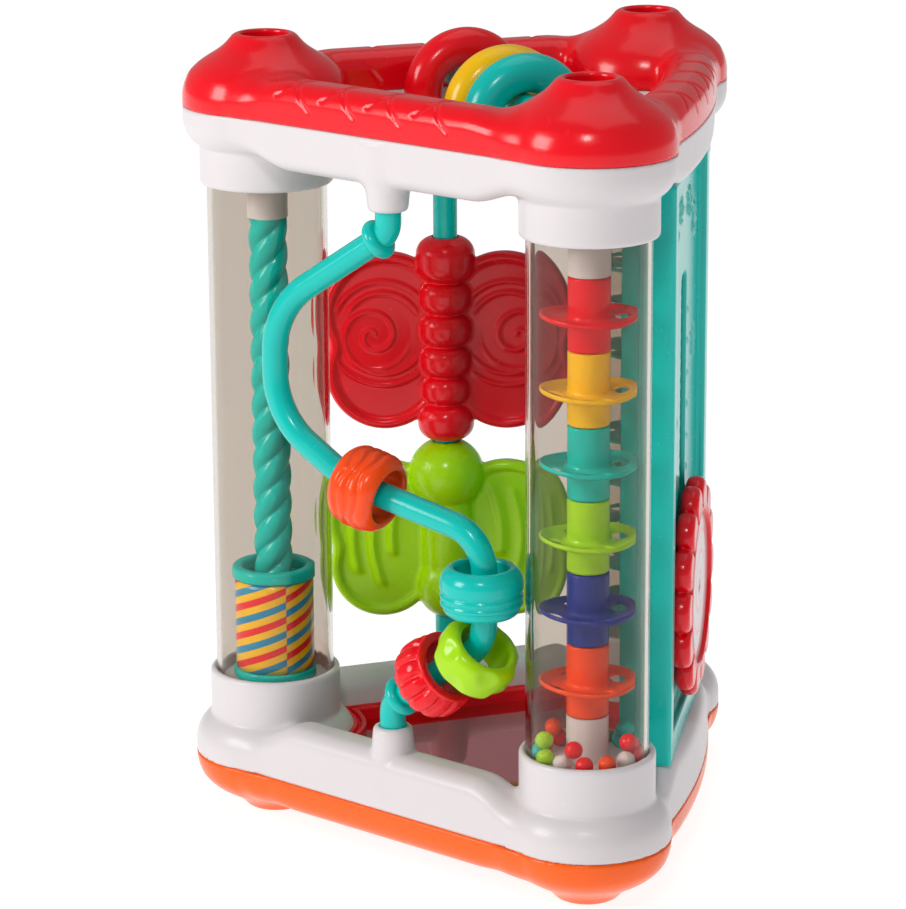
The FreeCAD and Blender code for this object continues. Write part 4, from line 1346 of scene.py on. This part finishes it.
class TOWER_OT_butterflies(bpy.types.Operator):
    """Red and green butterflies on their rod"""
    bl_idname = "tower.butterflies"
    bl_label = "Butterflies"

    def execute(self, context):
        dress("butterfly_rod", paint("teal"))
        make_red_butterfly()
        make_green_butterfly()
        return {"FINISHED"}


class TOWER_OT_rings(bpy.types.Operator):
    """Three rings on the cross rod of the top"""
    bl_idname = "tower.rings"
    bl_label = "Rings"

    def execute(self, context):
        dress("ring_rod", paint("teal"))
        for name in ("red", "yellow", "teal"):
            dress("ring_" + name, paint(name))
        return {"FINISHED"}


class TOWER_OT_panel_and_wheel(bpy.types.Operator):
    """Toothed panel of the right side and the flower wheel that climbs it"""
    bl_idname = "tower.panel_and_wheel"
    bl_label = "Panel and Wheel"

    def execute(self, context):
        make_panel()
        make_wheel()
        dress("panel_back", paint("teal"))
        dress("wheel_carriage", paint("white"))
        dress("wheel_pinion", paint("white"))
        return {"FINISHED"}


class TOWER_OT_tray_and_mirror(bpy.types.Operator):
    """Red tray and its tinted mirror"""
    bl_idname = "tower.tray_and_mirror"
    bl_label = "Tray and Mirror"

    def execute(self, context):
        make_tray()
        return {"FINISHED"}


class TOWER_OT_screws(bpy.types.Operator):
    """Screws of the top and the base"""
    bl_idname = "tower.screws"
    bl_label = "Screws"

    def execute(self, context):
        for name in ("top_screws", "base_screws"):
            dress(name, metal("steel_finish", tuple(colours().steel), 0.3))
        return {"FINISHED"}


class TOWER_OT_stage(bpy.types.Operator):
    """Pale floor, soft studio light and camera"""
    bl_idname = "tower.stage"
    bl_label = "Studio Stage"

    def execute(self, context):
        make_floor()
        make_world()
        make_camera()
        aim = (0.0, 0.0, 0.17)
        area_light("key_light", (-0.75, -1.5, 0.85), aim, (0.7, 0.7), 15.5, (1.0, 0.99, 0.97))
        area_light("front_light", (0.9, -1.3, 1.5), aim, (0.25, 0.25), 6.5, (1.0, 1.0, 1.0))
        area_light("top_light", (0.0, 0.3, 1.7), aim, (1.2, 1.2), 3.5, (1.0, 1.0, 1.0))
        context.scene.view_settings.view_transform = "Standard"
        return {"FINISHED"}


OPERATORS = (
    TOWER_OT_stage, TOWER_OT_top_cover, TOWER_OT_white_frames, TOWER_OT_base_cover, TOWER_OT_tubes,
    TOWER_OT_auger_and_drum, TOWER_OT_spinners_and_balls, TOWER_OT_rain_shelves,
    TOWER_OT_wire_and_beads, TOWER_OT_butterflies, TOWER_OT_rings, TOWER_OT_panel_and_wheel,
    TOWER_OT_tray_and_mirror, TOWER_OT_screws,
)


class TOWER_PT_panel(bpy.types.Panel):
    """Lists the tower's pieces"""
    bl_idname = "TOWER_PT_panel"
    bl_label = "Activity Tower"
    bl_space_type = "VIEW_3D"
    bl_region_type = "UI"
    bl_category = "Activity Tower"

    def draw(self, context):
        for kind in OPERATORS:
            self.layout.operator(kind.bl_idname)
        for group in (context.scene.tower_colours, context.scene.tower_details, context.scene.tower_stage):
            for key in group.bl_rna.properties.keys():
                if key not in ("rna_type", "name"):
                    self.layout.prop(group, key)


CLASSES = (TowerColours, TowerDetails, TowerStage, *OPERATORS, TOWER_PT_panel)


def register():
    for kind in CLASSES:
        bpy.utils.register_class(kind)
    bpy.types.Scene.tower_colours = bpy.props.PointerProperty(type=TowerColours)
    bpy.types.Scene.tower_details = bpy.props.PointerProperty(type=TowerDetails)
    bpy.types.Scene.tower_stage = bpy.props.PointerProperty(type=TowerStage)


def unregister():
    del bpy.types.Scene.tower_stage
    del bpy.types.Scene.tower_details
    del bpy.types.Scene.tower_colours
    for kind in reversed(CLASSES):
        bpy.utils.unregister_class(kind)


def main():
    register()
    for kind in OPERATORS:
        group, name = kind.bl_idname.split(".")
        getattr(getattr(bpy.ops, group), name)()


if __name__ == "__main__":
    main()
